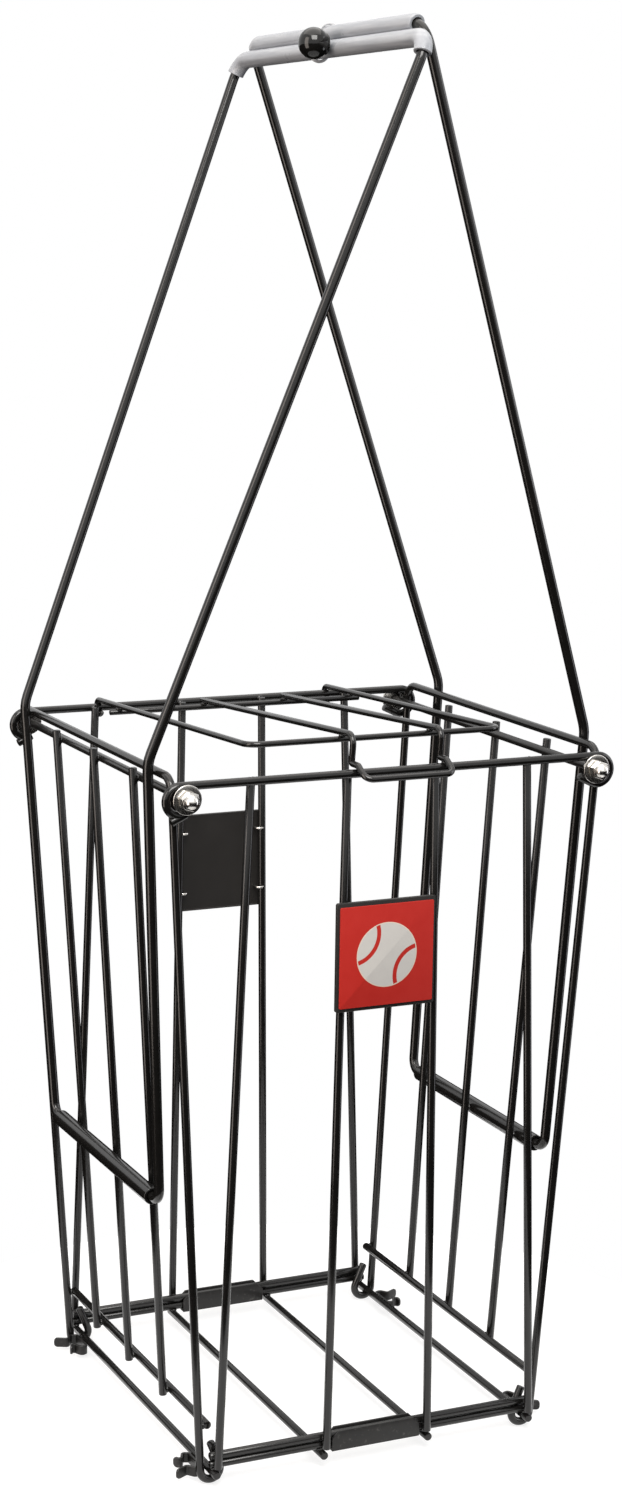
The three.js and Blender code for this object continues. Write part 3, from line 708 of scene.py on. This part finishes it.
SHEET = 1.2
CHANNEL_LENGTH = 56
CHANNEL_WIDTH = WIRE + 2 * CLEARANCE + SHEET
CHANNEL_FLOOR_Z = BASE_WIRE_Z - WIRE / 2 - CLEARANCE - SHEET / 2
FLANGE_HEIGHT = 11.4
FLANGE_CORNER_CUT = 4


def front_to_back(piece, edge):
    """How far an edge runs from front to back."""
    first, second = edge_line(piece, edge)
    return abs(first.y - second.y)


for end_name, end in ENDS:
    bpy.ops.mesh.primitive_plane_add(size=1, location=at(0, end * CROSS_Y, CHANNEL_FLOOR_Z))
    channel = bpy.context.object
    name_piece(channel, f"{end_name}_folded_clip")
    bpy.ops.transform.resize(value=(CHANNEL_LENGTH * MM, CHANNEL_WIDTH * MM, 1))
    settle()
    mark(channel, "EDGE", lambda edge: front_to_back(channel, edge) < 0.1 * MM)
    bpy.ops.mesh.extrude_edges_move(TRANSFORM_OT_translate={"value": at(0, 0, FLANGE_HEIGHT)})
    bpy.ops.mesh.select_mode(type="VERT")
    bpy.ops.mesh.bevel(offset=FLANGE_CORNER_CUT * MM, segments=1, affect="VERTICES")
    bpy.ops.mesh.select_all(action="SELECT")
    bpy.ops.mesh.normals_make_consistent(inside=True)
    bpy.ops.object.mode_set(mode="OBJECT")
    sheet = channel.modifiers.new("sheet", "SOLIDIFY")
    sheet.thickness = SHEET * MM
    sheet.offset = 0
    sheet.use_even_offset = True
    bpy.ops.object.modifier_apply(modifier="sheet")
    ease(channel, 0.4, segments=3, sharper_than=40)
    bpy.ops.object.shade_smooth_by_angle(angle=radians(35))
    fit(channel, "basket", "spring_clip", spring_black, f"{end_name}_sheet_clip")


# Badge plates: black moulded squares with eased edges, one on the two middle wires of each panel,
# hooked to them by short nickel wires. The front one has a red printed face with a plain pale ball.

PLATE_SIZE = (60.6, 2.5, 62)
BACK_FIELD_DEPTH = 0.25
FIELD_BORDER = 0.7
FIELD_WALL = 0.3
PLATE_HOOK_WIRE = 1.4
PLATE_HOOK_HEIGHTS = (286, 324.5)
PLATE_HOOK_BEND = 2
PLATE_HOOK_REACH = 3.1
PLATE_HOOK_ASIDE = 4.5
PLATE_HOOK_TIP_ASIDE = 0.6
PLATE_HOOK_BEHIND = (WIRE + PLATE_HOOK_WIRE) / 2 + 0.1

badge_coat, surface, place = new_finish("badge_satin_black", ior=1.4)
cloud = noise(place, scale=45, detail=3)
hair = noise(place, scale=700, detail=5, roughness=0.7)
tone = cloud.tint((0.012, 0.0108, 0.010, 1), (0.021, 0.019, 0.0175, 1))
lay_on(badge_coat, surface, tone, cloud * 0.10 + hair * 0.10 + 0.42, hair, depth=0.03, strength=0.6)


def model_plate(name, middle, size, corner_rounding, edge_rounding, field_depth=0.0):
    """An upright plate with rounded corners, and if wanted a sunken field on both of its faces."""
    width, thickness, height = size
    bpy.ops.mesh.primitive_cube_add(size=1, location=middle)
    plate = bpy.context.object
    name_piece(plate, name)
    bpy.ops.transform.resize(value=(width * MM, thickness * MM, height * MM))
    settle()
    mark(plate, "EDGE", lambda edge: front_to_back(plate, edge) > thickness / 2 * MM)
    bpy.ops.mesh.bevel(offset=corner_rounding * MM, segments=4, affect="EDGES")
    if field_depth:
        mark(plate, "FACE", lambda face: abs(face.normal.y) > 0.9)
        bpy.ops.mesh.inset(thickness=FIELD_BORDER * MM)
        bpy.ops.mesh.inset(thickness=FIELD_WALL * MM, depth=-field_depth * MM)
    bpy.ops.object.mode_set(mode="OBJECT")
    ease(plate, edge_rounding, segments=3, sharper_than=40)
    bpy.ops.object.shade_smooth_by_angle(angle=radians(35))
    return plate


for end_name, end in ENDS:
    low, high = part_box(f"{end_name}_badge_plate")
    plate = model_plate(f"{end_name}_badge_holder", (low + high) / 2, PLATE_SIZE, corner_rounding=1.2,
                        edge_rounding=0.35, field_depth=BACK_FIELD_DEPTH if end_name == "back" else 0.0)
    fit(plate, "basket", "badge_black", badge_coat, f"{end_name}_badge_plate")

for end_name, end in ENDS:
    for side_name, side in SIDES:
        foot = at(side * PANEL_FOOT_XS[2], end * PANEL_FOOT_Y, BOTTOM_WIRE_Z)
        top = at(side * PANEL_TOP_XS[2], end * PANEL_TOP_Y, RIM_Z)
        for number, z in enumerate(PLATE_HOOK_HEIGHTS, 1):
            held = foot.lerp(top, (z - BOTTOM_WIRE_Z) / (RIM_Z - BOTTOM_WIRE_Z))
            in_plate = held + at(-side * PLATE_HOOK_ASIDE, end * PLATE_HOOK_REACH, 0)
            beside = held + at(-side * PLATE_HOOK_ASIDE, -end * PLATE_HOOK_BEHIND, 0)
            behind = held + at(-side * PLATE_HOOK_TIP_ASIDE, -end * PLATE_HOOK_BEHIND, 0)
            path = bent([in_plate, beside, behind], [PLATE_HOOK_BEND])
            name = f"{end_name}_plate_hook_{side_name}_{number}"
            hook = draw_wire(name, path, PLATE_HOOK_WIRE, sides=14, end_bevel=0.2)
            fit(hook, "basket", "nickel_plate", nickel)

FACE_SIZE = (57.5, 0.8, 57.5)
PRINTED_BALL_RADIUS = 18.1
BALL_LINE_RADIUS = 18.2
BALL_LINE_HALF_WIDTH = 0.2
BALL_LINE_FADE = 0.2
SEAM_RADIUS = 16.5
SEAM_CENTRE_ASIDE = 21.5
SEAM_CENTRE_UP = 12.5
SEAM_HALF_WIDTH = 1.1
PRINT_FADE = 0.3

badge_print, surface, place = new_finish("badge_red_print", ior=1.4)
low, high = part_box("front_badge_label")
middle = (low + high) / 2
flat_x = place.along(0) - middle.x
flat_z = place.along(2) - middle.z


def from_point(x, z):
    """How far a place on the face is from a point of the drawing, in metres."""
    across = flat_x - x * MM
    up = flat_z - z * MM
    return across.maths("SQRT", across * across + up * up)


def beyond(distance, edge, fade):
    """1 farther away than the edge and its soft fade, 0 within."""
    return distance.ramp(edge * MM, (edge + fade) * MM)


from_middle = from_point(0, 0)
from_left_seam = (from_point(-SEAM_CENTRE_ASIDE, SEAM_CENTRE_UP) - SEAM_RADIUS * MM).size()
from_right_seam = (from_point(SEAM_CENTRE_ASIDE, -SEAM_CENTRE_UP) - SEAM_RADIUS * MM).size()
off_left_seam = beyond(from_left_seam, SEAM_HALF_WIDTH, PRINT_FADE)
off_right_seam = beyond(from_right_seam, SEAM_HALF_WIDTH, PRINT_FADE)
pale = (1 - beyond(from_middle, PRINTED_BALL_RADIUS, PRINT_FADE)) * (off_left_seam * off_right_seam)
from_ball_line = (from_middle - BALL_LINE_RADIUS * MM).size()
ball_line = 1 - beyond(from_ball_line, BALL_LINE_HALF_WIDTH, BALL_LINE_FADE)
cloud = noise(place, scale=140, detail=4)
red = cloud.tint((0.47, 0.019, 0.0135, 1), (0.52, 0.027, 0.019, 1))
grey = cloud.tint((0.58, 0.56, 0.54, 1), (0.64, 0.62, 0.585, 1))
tone = ball_line.tint(pale.tint(red, grey), (0.72, 0.62, 0.52, 1))
fleck = noise(place, scale=1300, detail=3)
lay_on(badge_print, surface, tone, cloud * 0.1 + 0.42, fleck + pale * 2.0, depth=0.02, strength=0.6)
label = model_plate("front_badge_face", middle, FACE_SIZE, corner_rounding=0.8, edge_rounding=0.15)
fit(label, "basket", "badge_red", badge_print, "front_badge_label")


# Bails: tall loops of 5.8 mm coated wire. Each is one wire whose two ends meet in its sleeve. It
# rises past the basket, bends in at the shoulder and carries the grip on its top bar.

BUTT_HALF_GAP = 0.5
SHOULDER_X = 136.6
SHOULDER_Z = 416.5
FOOT_BEND = 8
SHOULDER_BEND = 24
TOP_BEND = 12

# Where each top bar lies, half its length, and how far to the back its middle is.
TOP_BARS = {
    "left": {"x": 8.6, "z": 797.3, "half_length": 125.0, "middle_y": -3.5},
    "right": {"x": 14.6, "z": 806.2, "half_length": 113.8, "middle_y": 3.2},
}


def half_bail(side_name, side, end):
    """The corners of a bail's front or back half, from its end in the sleeve to its top bar."""
    bar = TOP_BARS[side_name]
    return [
        at(side * PIVOT_X, end * BUTT_HALF_GAP, PIVOT_Z),
        at(side * PIVOT_X, end * ARM_FOOT_Y, PIVOT_Z),
        at(side * SHOULDER_X, arm_y(side_name, end, SHOULDER_Z - PIVOT_Z), SHOULDER_Z),
        at(bar["x"], end * bar["half_length"] + bar["middle_y"], bar["z"]),
    ]


top_corners = {}
for side_name, side in SIDES:
    corners = half_bail(side_name, side, -1) + half_bail(side_name, side, 1)[::-1]
    path = bent(corners, (FOOT_BEND, SHOULDER_BEND, TOP_BEND, TOP_BEND, SHOULDER_BEND, FOOT_BEND))
    bail = draw_wire(f"{side_name}_bail_wire", path, BAIL, sides=24)
    fit(bail, f"{side_name}_bail", "coated_wire", black_coat, f"{side_name}_bail")
    top_corners[side_name] = corners[2:6]


# Grips: thick milky vinyl tubing pushed over the top bars, round part of the bends. It is
# satin, a little clear, and shows the black wire inside as a soft grey.

TUBE = 9.8
TUBE_BORE = 6.4

# Each bend is in equal steps of up to 20 degrees, and a tube leaves some of them bare: front, back.
BEND_STEP = 20
BARE_STEPS = {"left": (1, 1), "right": (4, 3)}

milky_vinyl, surface, place = new_finish("milky_vinyl_tube", coat=0.25, coat_roughness=0.25, ior=1.47)
surface.inputs["Subsurface Weight"].default_value = 0.2
surface.inputs["Subsurface Radius"].default_value = (0.0016, 0.0016, 0.0017)
stretch = place.node("ShaderNodeMapping", {}, {"Vector": place, "Scale": (1.0, 0.06, 1.0)})
streak = noise(stretch, scale=420, detail=3)
cloud = noise(place, scale=38, detail=3)
ripple = noise(place, scale=260)
smoke = cloud.tint((0.31, 0.325, 0.355, 1), (0.355, 0.37, 0.40, 1))
tone = streak.ramp(0.35, 0.75).tint(smoke, (0.43, 0.445, 0.47, 1))
lay_on(milky_vinyl, surface, tone, cloud * 0.10 + 0.24, streak + ripple * 0.5, depth=0.02, strength=0.25)

for side_name, (front_arm, front_top, back_top, back_arm) in top_corners.items():
    front_start, (front_centre, front_axis, front_turn) = corner(front_arm, front_top, back_top, TOP_BEND)
    back_start, (back_centre, back_axis, back_turn) = corner(front_top, back_top, back_arm, TOP_BEND)
    front_steps, back_steps = BARE_STEPS[side_name]
    front_bare = front_turn * front_steps / ceil(front_turn / BEND_STEP)
    back_bare = back_turn * back_steps / ceil(back_turn / BEND_STEP)
    path = [swing(front_start, front_centre, front_axis, front_bare)]
    path += [(front_centre, front_axis, front_turn - front_bare)]
    path += [back_start, (back_centre, back_axis, back_turn - back_bare)]
    tube = draw_tube(f"{side_name}_grip_tube", path, TUBE, TUBE_BORE, sides=32)
    fit(tube, f"{side_name}_bail", "milky_grip", milky_vinyl, f"{side_name}_grip")


# Lid: a thinner coated wire bent to three sides, its ends curled round the back rim as hinges,
# a crossbar welded under its arms, and a latch wire that snaps down behind the front rim.

LID_WIRE = 3.4
LID_SIDES = 18
LID_XS = (-80, 75)
LID_FRONT_Y = -106
LID_FRONT_RISE = 11.5
LID_BEND = 8
CURL_RADIUS = (WIRE + LID_WIRE) / 2 + CLEARANCE
CURL_TURN = 235
CROSSBAR_XS = (-86, 81)
CROSSBAR_Y = 91
LATCH_WIRE = 3.6
LATCH_XS = (3 - 27, 3 + 27)
LATCH_BACK_Y = 95
LATCH_BEHIND_RIM = 2.4
LATCH_LEG_SLANT = 2.2
LATCH_OVER_RIM = 2
TAB_FRONT_Y = -138.58
TAB_DROP = 5.9
LATCH_BEND = 5
LATCH_TIGHT_BEND = 1


def lid_height(y):
    """The height of the lid's arms, which rise a little towards the front."""
    return RIM_Z + CURL_RADIUS + LID_FRONT_RISE / (RIM_Y - LID_FRONT_Y) * (RIM_Y - y)


def draw_lid_wire(name, path, thickness, node):
    lid_wire = draw_wire(name, path, thickness, sides=LID_SIDES)
    fit(lid_wire, "lid", "coated_wire", black_coat, node)


hinge = [at(x, RIM_Y, RIM_Z) for x in LID_XS]
over_rim = [at(x, RIM_Y, RIM_Z + CURL_RADIUS) for x in LID_XS]
front_corners = [at(x, LID_FRONT_Y, lid_height(LID_FRONT_Y)) for x in LID_XS]
path = [swing(over_rim[0], hinge[0], (-1, 0, 0), CURL_TURN), (hinge[0], (1, 0, 0), CURL_TURN)]
path += corner(over_rim[0], front_corners[0], front_corners[1], LID_BEND)
path += corner(front_corners[0], front_corners[1], over_rim[1], LID_BEND)
path += [over_rim[1], (hinge[1], (-1, 0, 0), CURL_TURN)]
draw_lid_wire("lid_bent_frame", path, LID_WIRE, "lid_frame")

crossbar_z = lid_height(CROSSBAR_Y) - LID_WIRE - CLEARANCE
crossbar_line = [at(x, CROSSBAR_Y, crossbar_z) for x in CROSSBAR_XS]
draw_lid_wire("lid_cross_wire", crossbar_line, LID_WIRE, "lid_crossbar")

# The latch wire lies on the crossbar and on the front of the frame, then steps down onto the rim.
seat = (LID_WIRE + LATCH_WIRE) / 2 + CLEARANCE
latch_rise = lid_height(LID_FRONT_Y) - crossbar_z
latch_slope = latch_rise / (CROSSBAR_Y - LID_FRONT_Y)
leg_y = -RIM_Y + (WIRE + LATCH_WIRE) / 2 + LATCH_BEHIND_RIM
rest_z = RIM_Z + (WIRE + LATCH_WIRE) / 2 + CLEARANCE


def latch_height(y):
    return crossbar_z + seat + latch_slope * (CROSSBAR_Y - y)


def half_latch(x):
    """The corners of one side of the latch, from its back end to the front of its tab."""
    bend_y = leg_y - LATCH_LEG_SLANT
    return [
        at(x, LATCH_BACK_Y, latch_height(LATCH_BACK_Y)),
        at(x, bend_y, latch_height(bend_y)),
        at(x, leg_y, rest_z),
        at(x, -RIM_Y - LATCH_OVER_RIM, rest_z),
        at(x, TAB_FRONT_Y + LATCH_WIRE / 2, rest_z - TAB_DROP),
    ]


left_latch, right_latch = [half_latch(x) for x in LATCH_XS]
half_bends = (LATCH_BEND, LATCH_TIGHT_BEND, LATCH_TIGHT_BEND, LATCH_BEND)
path = bent(left_latch + right_latch[::-1], half_bends * 2)
draw_lid_wire("lid_latch_wire", path, LATCH_WIRE, "lid_latch")

crossings = [(arm, crossbar_line) for arm in zip(over_rim, front_corners)]
for half in (left_latch, right_latch):
    crossings += [(half[:2], line) for line in (crossbar_line, front_corners)]
fit(weld_all("lid_welds", crossings), "lid", "coated_wire", black_coat)


# Elastic lock: a polished black ball with a turned collar, on a loop of thin milky elastic. The
# cord's two ends sit in a bore in the ball's back, and its loop ties both grips a little further back.

BALL_X = -5.4
BALL_Y = -15
BALL_Z = 799.5
BALL_RADIUS = 8.75
COLLAR_RADIUS = 6.1
COLLAR_LENGTH = 2.2
COLLAR_OUT = 6.4
BORE_RADIUS = 2.25
DRILL_LENGTH = 17.5
DRILL_OUT = 8.15
CORD = 1.8
CORD_OUT = BALL_RADIUS + 1.5
LOOP_BACK = 23
FORK_BESIDE = 1.4

polished, surface, place = new_finish("polished_black_knob", coat=0.1, coat_roughness=0.03, ior=1.42)
cloud = noise(place, scale=240, detail=3)
tone = cloud.tint((0.004, 0.004, 0.004, 1), (0.009, 0.0085, 0.008, 1))
lay_on(polished, surface, tone, cloud * 0.05 + 0.09, cloud, depth=0.02, strength=0.3)

collar_place = at(BALL_X + COLLAR_OUT, BALL_Y, BALL_Z)
collar = turn_bar(56, COLLAR_RADIUS, COLLAR_LENGTH, collar_place, (0, radians(90), 0))
ease(collar, 0.5, segments=3, sharper_than=60)
knob = turn_ball(56, BALL_RADIUS, at(BALL_X, BALL_Y, BALL_Z))
name_piece(knob, "lock_knob_ball")
drill = turn_bar(32, BORE_RADIUS, DRILL_LENGTH, at(BALL_X, BALL_Y + DRILL_OUT, BALL_Z), LYING)
for tool, operation in ((collar, "UNION"), (drill, "DIFFERENCE")):
    only(knob)
    cut = knob.modifiers.new("cut", "BOOLEAN")
    cut.operation = operation
    cut.object = tool
    bpy.ops.object.modifier_apply(modifier="cut")
    bpy.data.objects.remove(tool)
bpy.ops.object.shade_smooth_by_angle(angle=radians(40))
fit(knob, "lock_ball", "lock_knob", polished, "lock_ball")

elastic, surface, place = new_finish("milky_elastic", coat=0.1, coat_roughness=0.3)
surface.inputs["Sheen Weight"].default_value = 0.2
surface.inputs["Subsurface Weight"].default_value = 0.3
surface.inputs["Subsurface Radius"].default_value = (0.0008, 0.0008, 0.0009)
braid = noise(place, scale=2600, detail=3, roughness=0.6)
cloud = noise(place, scale=200, detail=3)
tone = braid.tint((0.50, 0.51, 0.53, 1), (0.62, 0.62, 0.63, 1))
lay_on(elastic, surface, tone, cloud * 0.1 + 0.5, braid, depth=0.1, strength=0.5)

# Seen from the front, the cord's two strands part at a fork and touch the ring round each grip.
loop_y = BALL_Y + LOOP_BACK
ring = (TUBE + CORD) / 2 + CLEARANCE
strand_step = (CORD + CLEARANCE) / 2
lower, upper = [Vector((bar["x"], bar["z"])) for bar in TOP_BARS.values()]
fork = Vector((lower.x - ring - FORK_BESIDE, BALL_Z))


def touching(point, centre, sign):
    """The angle at which a line from the point touches the cord's ring round a grip."""
    reach = point - centre
    return atan2(reach.y, reach.x) + sign * acos(ring / reach.length)


def on_ring(centre, angle):
    return at(centre.x + ring * cos(angle), loop_y, centre.y + ring * sin(angle))


def strand(side):
    """The lower or upper strand: its end in the bore, the bore's mouth and the fork."""
    z = BALL_Z + side * strand_step
    return [at(BALL_X, BALL_Y, z), at(BALL_X, BALL_Y + CORD_OUT, z), at(fork.x, loop_y, z)]


rising = atan2(upper.y - lower.y, upper.x - lower.x) - pi / 2
low_start = touching(fork - Vector((0, strand_step)), lower, 1)
high_end = touching(fork + Vector((0, strand_step)), upper, -1)
low_turn = degrees(rising - low_start) % 360
high_turn = degrees(high_end - rising) % 360
low_inner, low_mouth, low_fork = strand(-1)
high_inner, high_mouth, high_fork = strand(1)
path = [low_inner, *corner(low_inner, low_mouth, low_fork, CORD)]
path += corner(low_mouth, low_fork, on_ring(lower, low_start), CORD)
path += [on_ring(lower, low_start), (at(lower.x, loop_y, lower.y), (0, -1, 0), low_turn)]
path += [on_ring(upper, rising), (at(upper.x, loop_y, upper.y), (0, -1, 0), high_turn)]
path += corner(on_ring(upper, high_end), high_fork, high_mouth, CORD)
path += [*corner(high_fork, high_mouth, high_inner, CORD), high_inner]
band = draw_wire("lock_elastic", path, CORD, sides=16, end_bevel=0.2)
band.data.materials.append(elastic)
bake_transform(band)
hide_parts("lock_band")


# Studio, in metres: a small white table top, soft lamps and the camera at the photo's angle. Two
# tall lamps at the sides draw the long highlights. Black cards stand all round behind the lamps, up
# to half a metre high, and a small one close behind the basket. They show only in glossy reflections.

WHITE = (1, 1, 1, 1)
TABLE_RADIUS = 0.28
TABLE_Z = -0.0004
CARDS_RADIUS = 3.0
CARDS_HEIGHT = 4.8
CARDS_TOP_Z = 0.5


def empty_tree(owner):
    owner.use_nodes = True
    owner.node_tree.nodes.clear()
    return owner.node_tree


def seen_directly(tree):
    """1 where the camera sees it, by itself, mirrored or through the vinyl, and 0 for soft light."""
    rays = tree.nodes.new("ShaderNodeLightPath")
    seen = Shade(tree, rays.outputs["Is Camera Ray"])
    mirrored = Shade(tree, rays.outputs["Is Glossy Ray"])
    through = Shade(tree, rays.outputs["Is Transmission Ray"])
    return seen.maths("MAXIMUM", seen.maths("MAXIMUM", seen, mirrored), through)


# The table glows where it is seen, a little less near the basket.
stage_white = bpy.data.materials.new("studio_white")
tree = empty_tree(stage_white)
start = Shade(tree)
matt = start.node("ShaderNodeBsdfDiffuse", {}, {"Color": (0.35, 0.35, 0.35, 1)})
spot = start.node("ShaderNodeTexCoord", {}, {}, output="Object")
away = spot.node("ShaderNodeVectorMath", {"operation": "LENGTH"}, {0: spot}, output="Value")
strength = seen_directly(tree) * (away.ramp(0.15, 0.27) * 0.24 + 0.78)
glow = start.node("ShaderNodeEmission", {}, {"Color": WHITE, "Strength": strength})
both = start.node("ShaderNodeAddShader", {}, {0: matt, 1: glow})
start.node("ShaderNodeOutputMaterial", {}, {"Surface": both})

bpy.ops.mesh.primitive_circle_add(vertices=96, radius=TABLE_RADIUS, fill_type="NGON",
                                  location=(0, 0, TABLE_Z))
table = bpy.context.object
table.name = "studio_table_top"
table.data.materials.append(stage_white)

card_black = bpy.data.materials.new("studio_card_black")
card_black.use_nodes = True
surface = card_black.node_tree.nodes["Principled BSDF"]
surface.inputs["Base Color"].default_value = (0.02, 0.02, 0.02, 1)
surface.inputs["Specular IOR Level"].default_value = 0.0

cards_place = (0, 0, CARDS_TOP_Z - CARDS_HEIGHT / 2)
bpy.ops.mesh.primitive_cylinder_add(vertices=96, radius=CARDS_RADIUS, depth=CARDS_HEIGHT,
                                    end_fill_type="NOTHING", location=cards_place)
cards = bpy.context.object
cards.name = "studio_black_cards"
settle()
bpy.ops.mesh.primitive_plane_add(size=1, location=(0, 1, 0.2), rotation=(pi / 2, 0, 0))
low_card = bpy.context.object
low_card.name = "studio_low_card"
bpy.ops.transform.resize(value=(2.4, 1, 0.44))
settle()
for card in (cards, low_card):
    card.data.materials.append(card_black)
    card.visible_camera = False
    card.visible_diffuse = False
    card.visible_transmission = False
    card.visible_shadow = False

# The room is white where it is seen, and gives only a little soft light.
world = bpy.data.worlds.new("studio")
bpy.context.scene.world = world
tree = empty_tree(world)
start = Shade(tree)
level = start.node("ShaderNodeBackground", {}, {"Color": WHITE, "Strength": 0.10})
white = start.node("ShaderNodeBackground", {}, {"Color": WHITE, "Strength": 1.0})
mixed = start.node("ShaderNodeMixShader", {}, {0: seen_directly(tree), 1: level, 2: white})
start.node("ShaderNodeOutputWorld", {}, {"Surface": mixed})


def soft_lamp(name, place, aim, width, height, watts, colour):
    bpy.ops.object.light_add(type="AREA", location=place)
    lamp = bpy.context.object
    lamp.name = name
    lamp.data.shape = "RECTANGLE"
    lamp.data.size = width
    lamp.data.size_y = height
    lamp.data.energy = watts
    lamp.data.color = colour
    lamp.rotation_euler = (Vector(aim) - Vector(place)).to_track_quat("-Z", "Y").to_euler()


soft_lamp("left_lamp", place=(-1.96, -0.38, 0.8), aim=(0, 0, 0.8), width=1.0, height=2.8,
          watts=33, colour=(1.0, 0.89, 0.81))
soft_lamp("right_lamp", place=(2.1, -0.66, 0.8), aim=(0, 0, 0.8), width=0.8, height=2.8,
          watts=15, colour=(0.95, 0.95, 1.0))
soft_lamp("top_lamp", place=(0, 0.3, 2.6), aim=(0, 0, 0.4), width=2.8, height=2.8,
          watts=38, colour=(1.0, 0.95, 0.90))
soft_lamp("front_lamp", place=(-0.6, -1.8, 2.3), aim=(0, 0, 0.4), width=1.6, height=1.4,
          watts=77, colour=(1.0, 0.98, 0.95))

# The camera as it was fitted to the photo: angles, where it aims, and its lens in the photo's pixels.
AZIMUTH = radians(-24.6759)
ELEVATION = radians(10.9602)
ROLL = radians(0.8097)
AIM_Z = 383.582 * MM
CAMERA_DISTANCE = 1.62687
PHOTO_HEIGHT = 1500
FOCAL_LENGTH = 2757.041
CENTRE_SHIFT = (10.092, 22.291)
SENSOR_HEIGHT = 36

camera_data = bpy.data.cameras.new("photo_camera")
camera = bpy.data.objects.new("photo_camera", camera_data)
bpy.context.collection.objects.link(camera)
back = Vector((sin(AZIMUTH) * cos(ELEVATION), -cos(AZIMUTH) * cos(ELEVATION), sin(ELEVATION)))
level_right = Vector((cos(AZIMUTH), sin(AZIMUTH), 0))
level_up = back.cross(level_right)
right = level_right * cos(ROLL) + level_up * sin(ROLL)
up = level_up * cos(ROLL) - level_right * sin(ROLL)
stand = Matrix.Translation(Vector((0, 0, AIM_Z)) + back * CAMERA_DISTANCE)
camera.matrix_world = stand @ Matrix((right, up, back)).transposed().to_4x4()
camera_data.sensor_fit = "VERTICAL"
camera_data.sensor_height = SENSOR_HEIGHT
camera_data.lens = FOCAL_LENGTH / PHOTO_HEIGHT * SENSOR_HEIGHT
camera_data.shift_x = CENTRE_SHIFT[0] / PHOTO_HEIGHT
camera_data.shift_y = CENTRE_SHIFT[1] / PHOTO_HEIGHT
camera_data.clip_start = 0.05
bpy.context.scene.camera = camera

bpy.context.scene.view_settings.view_transform = "Standard"
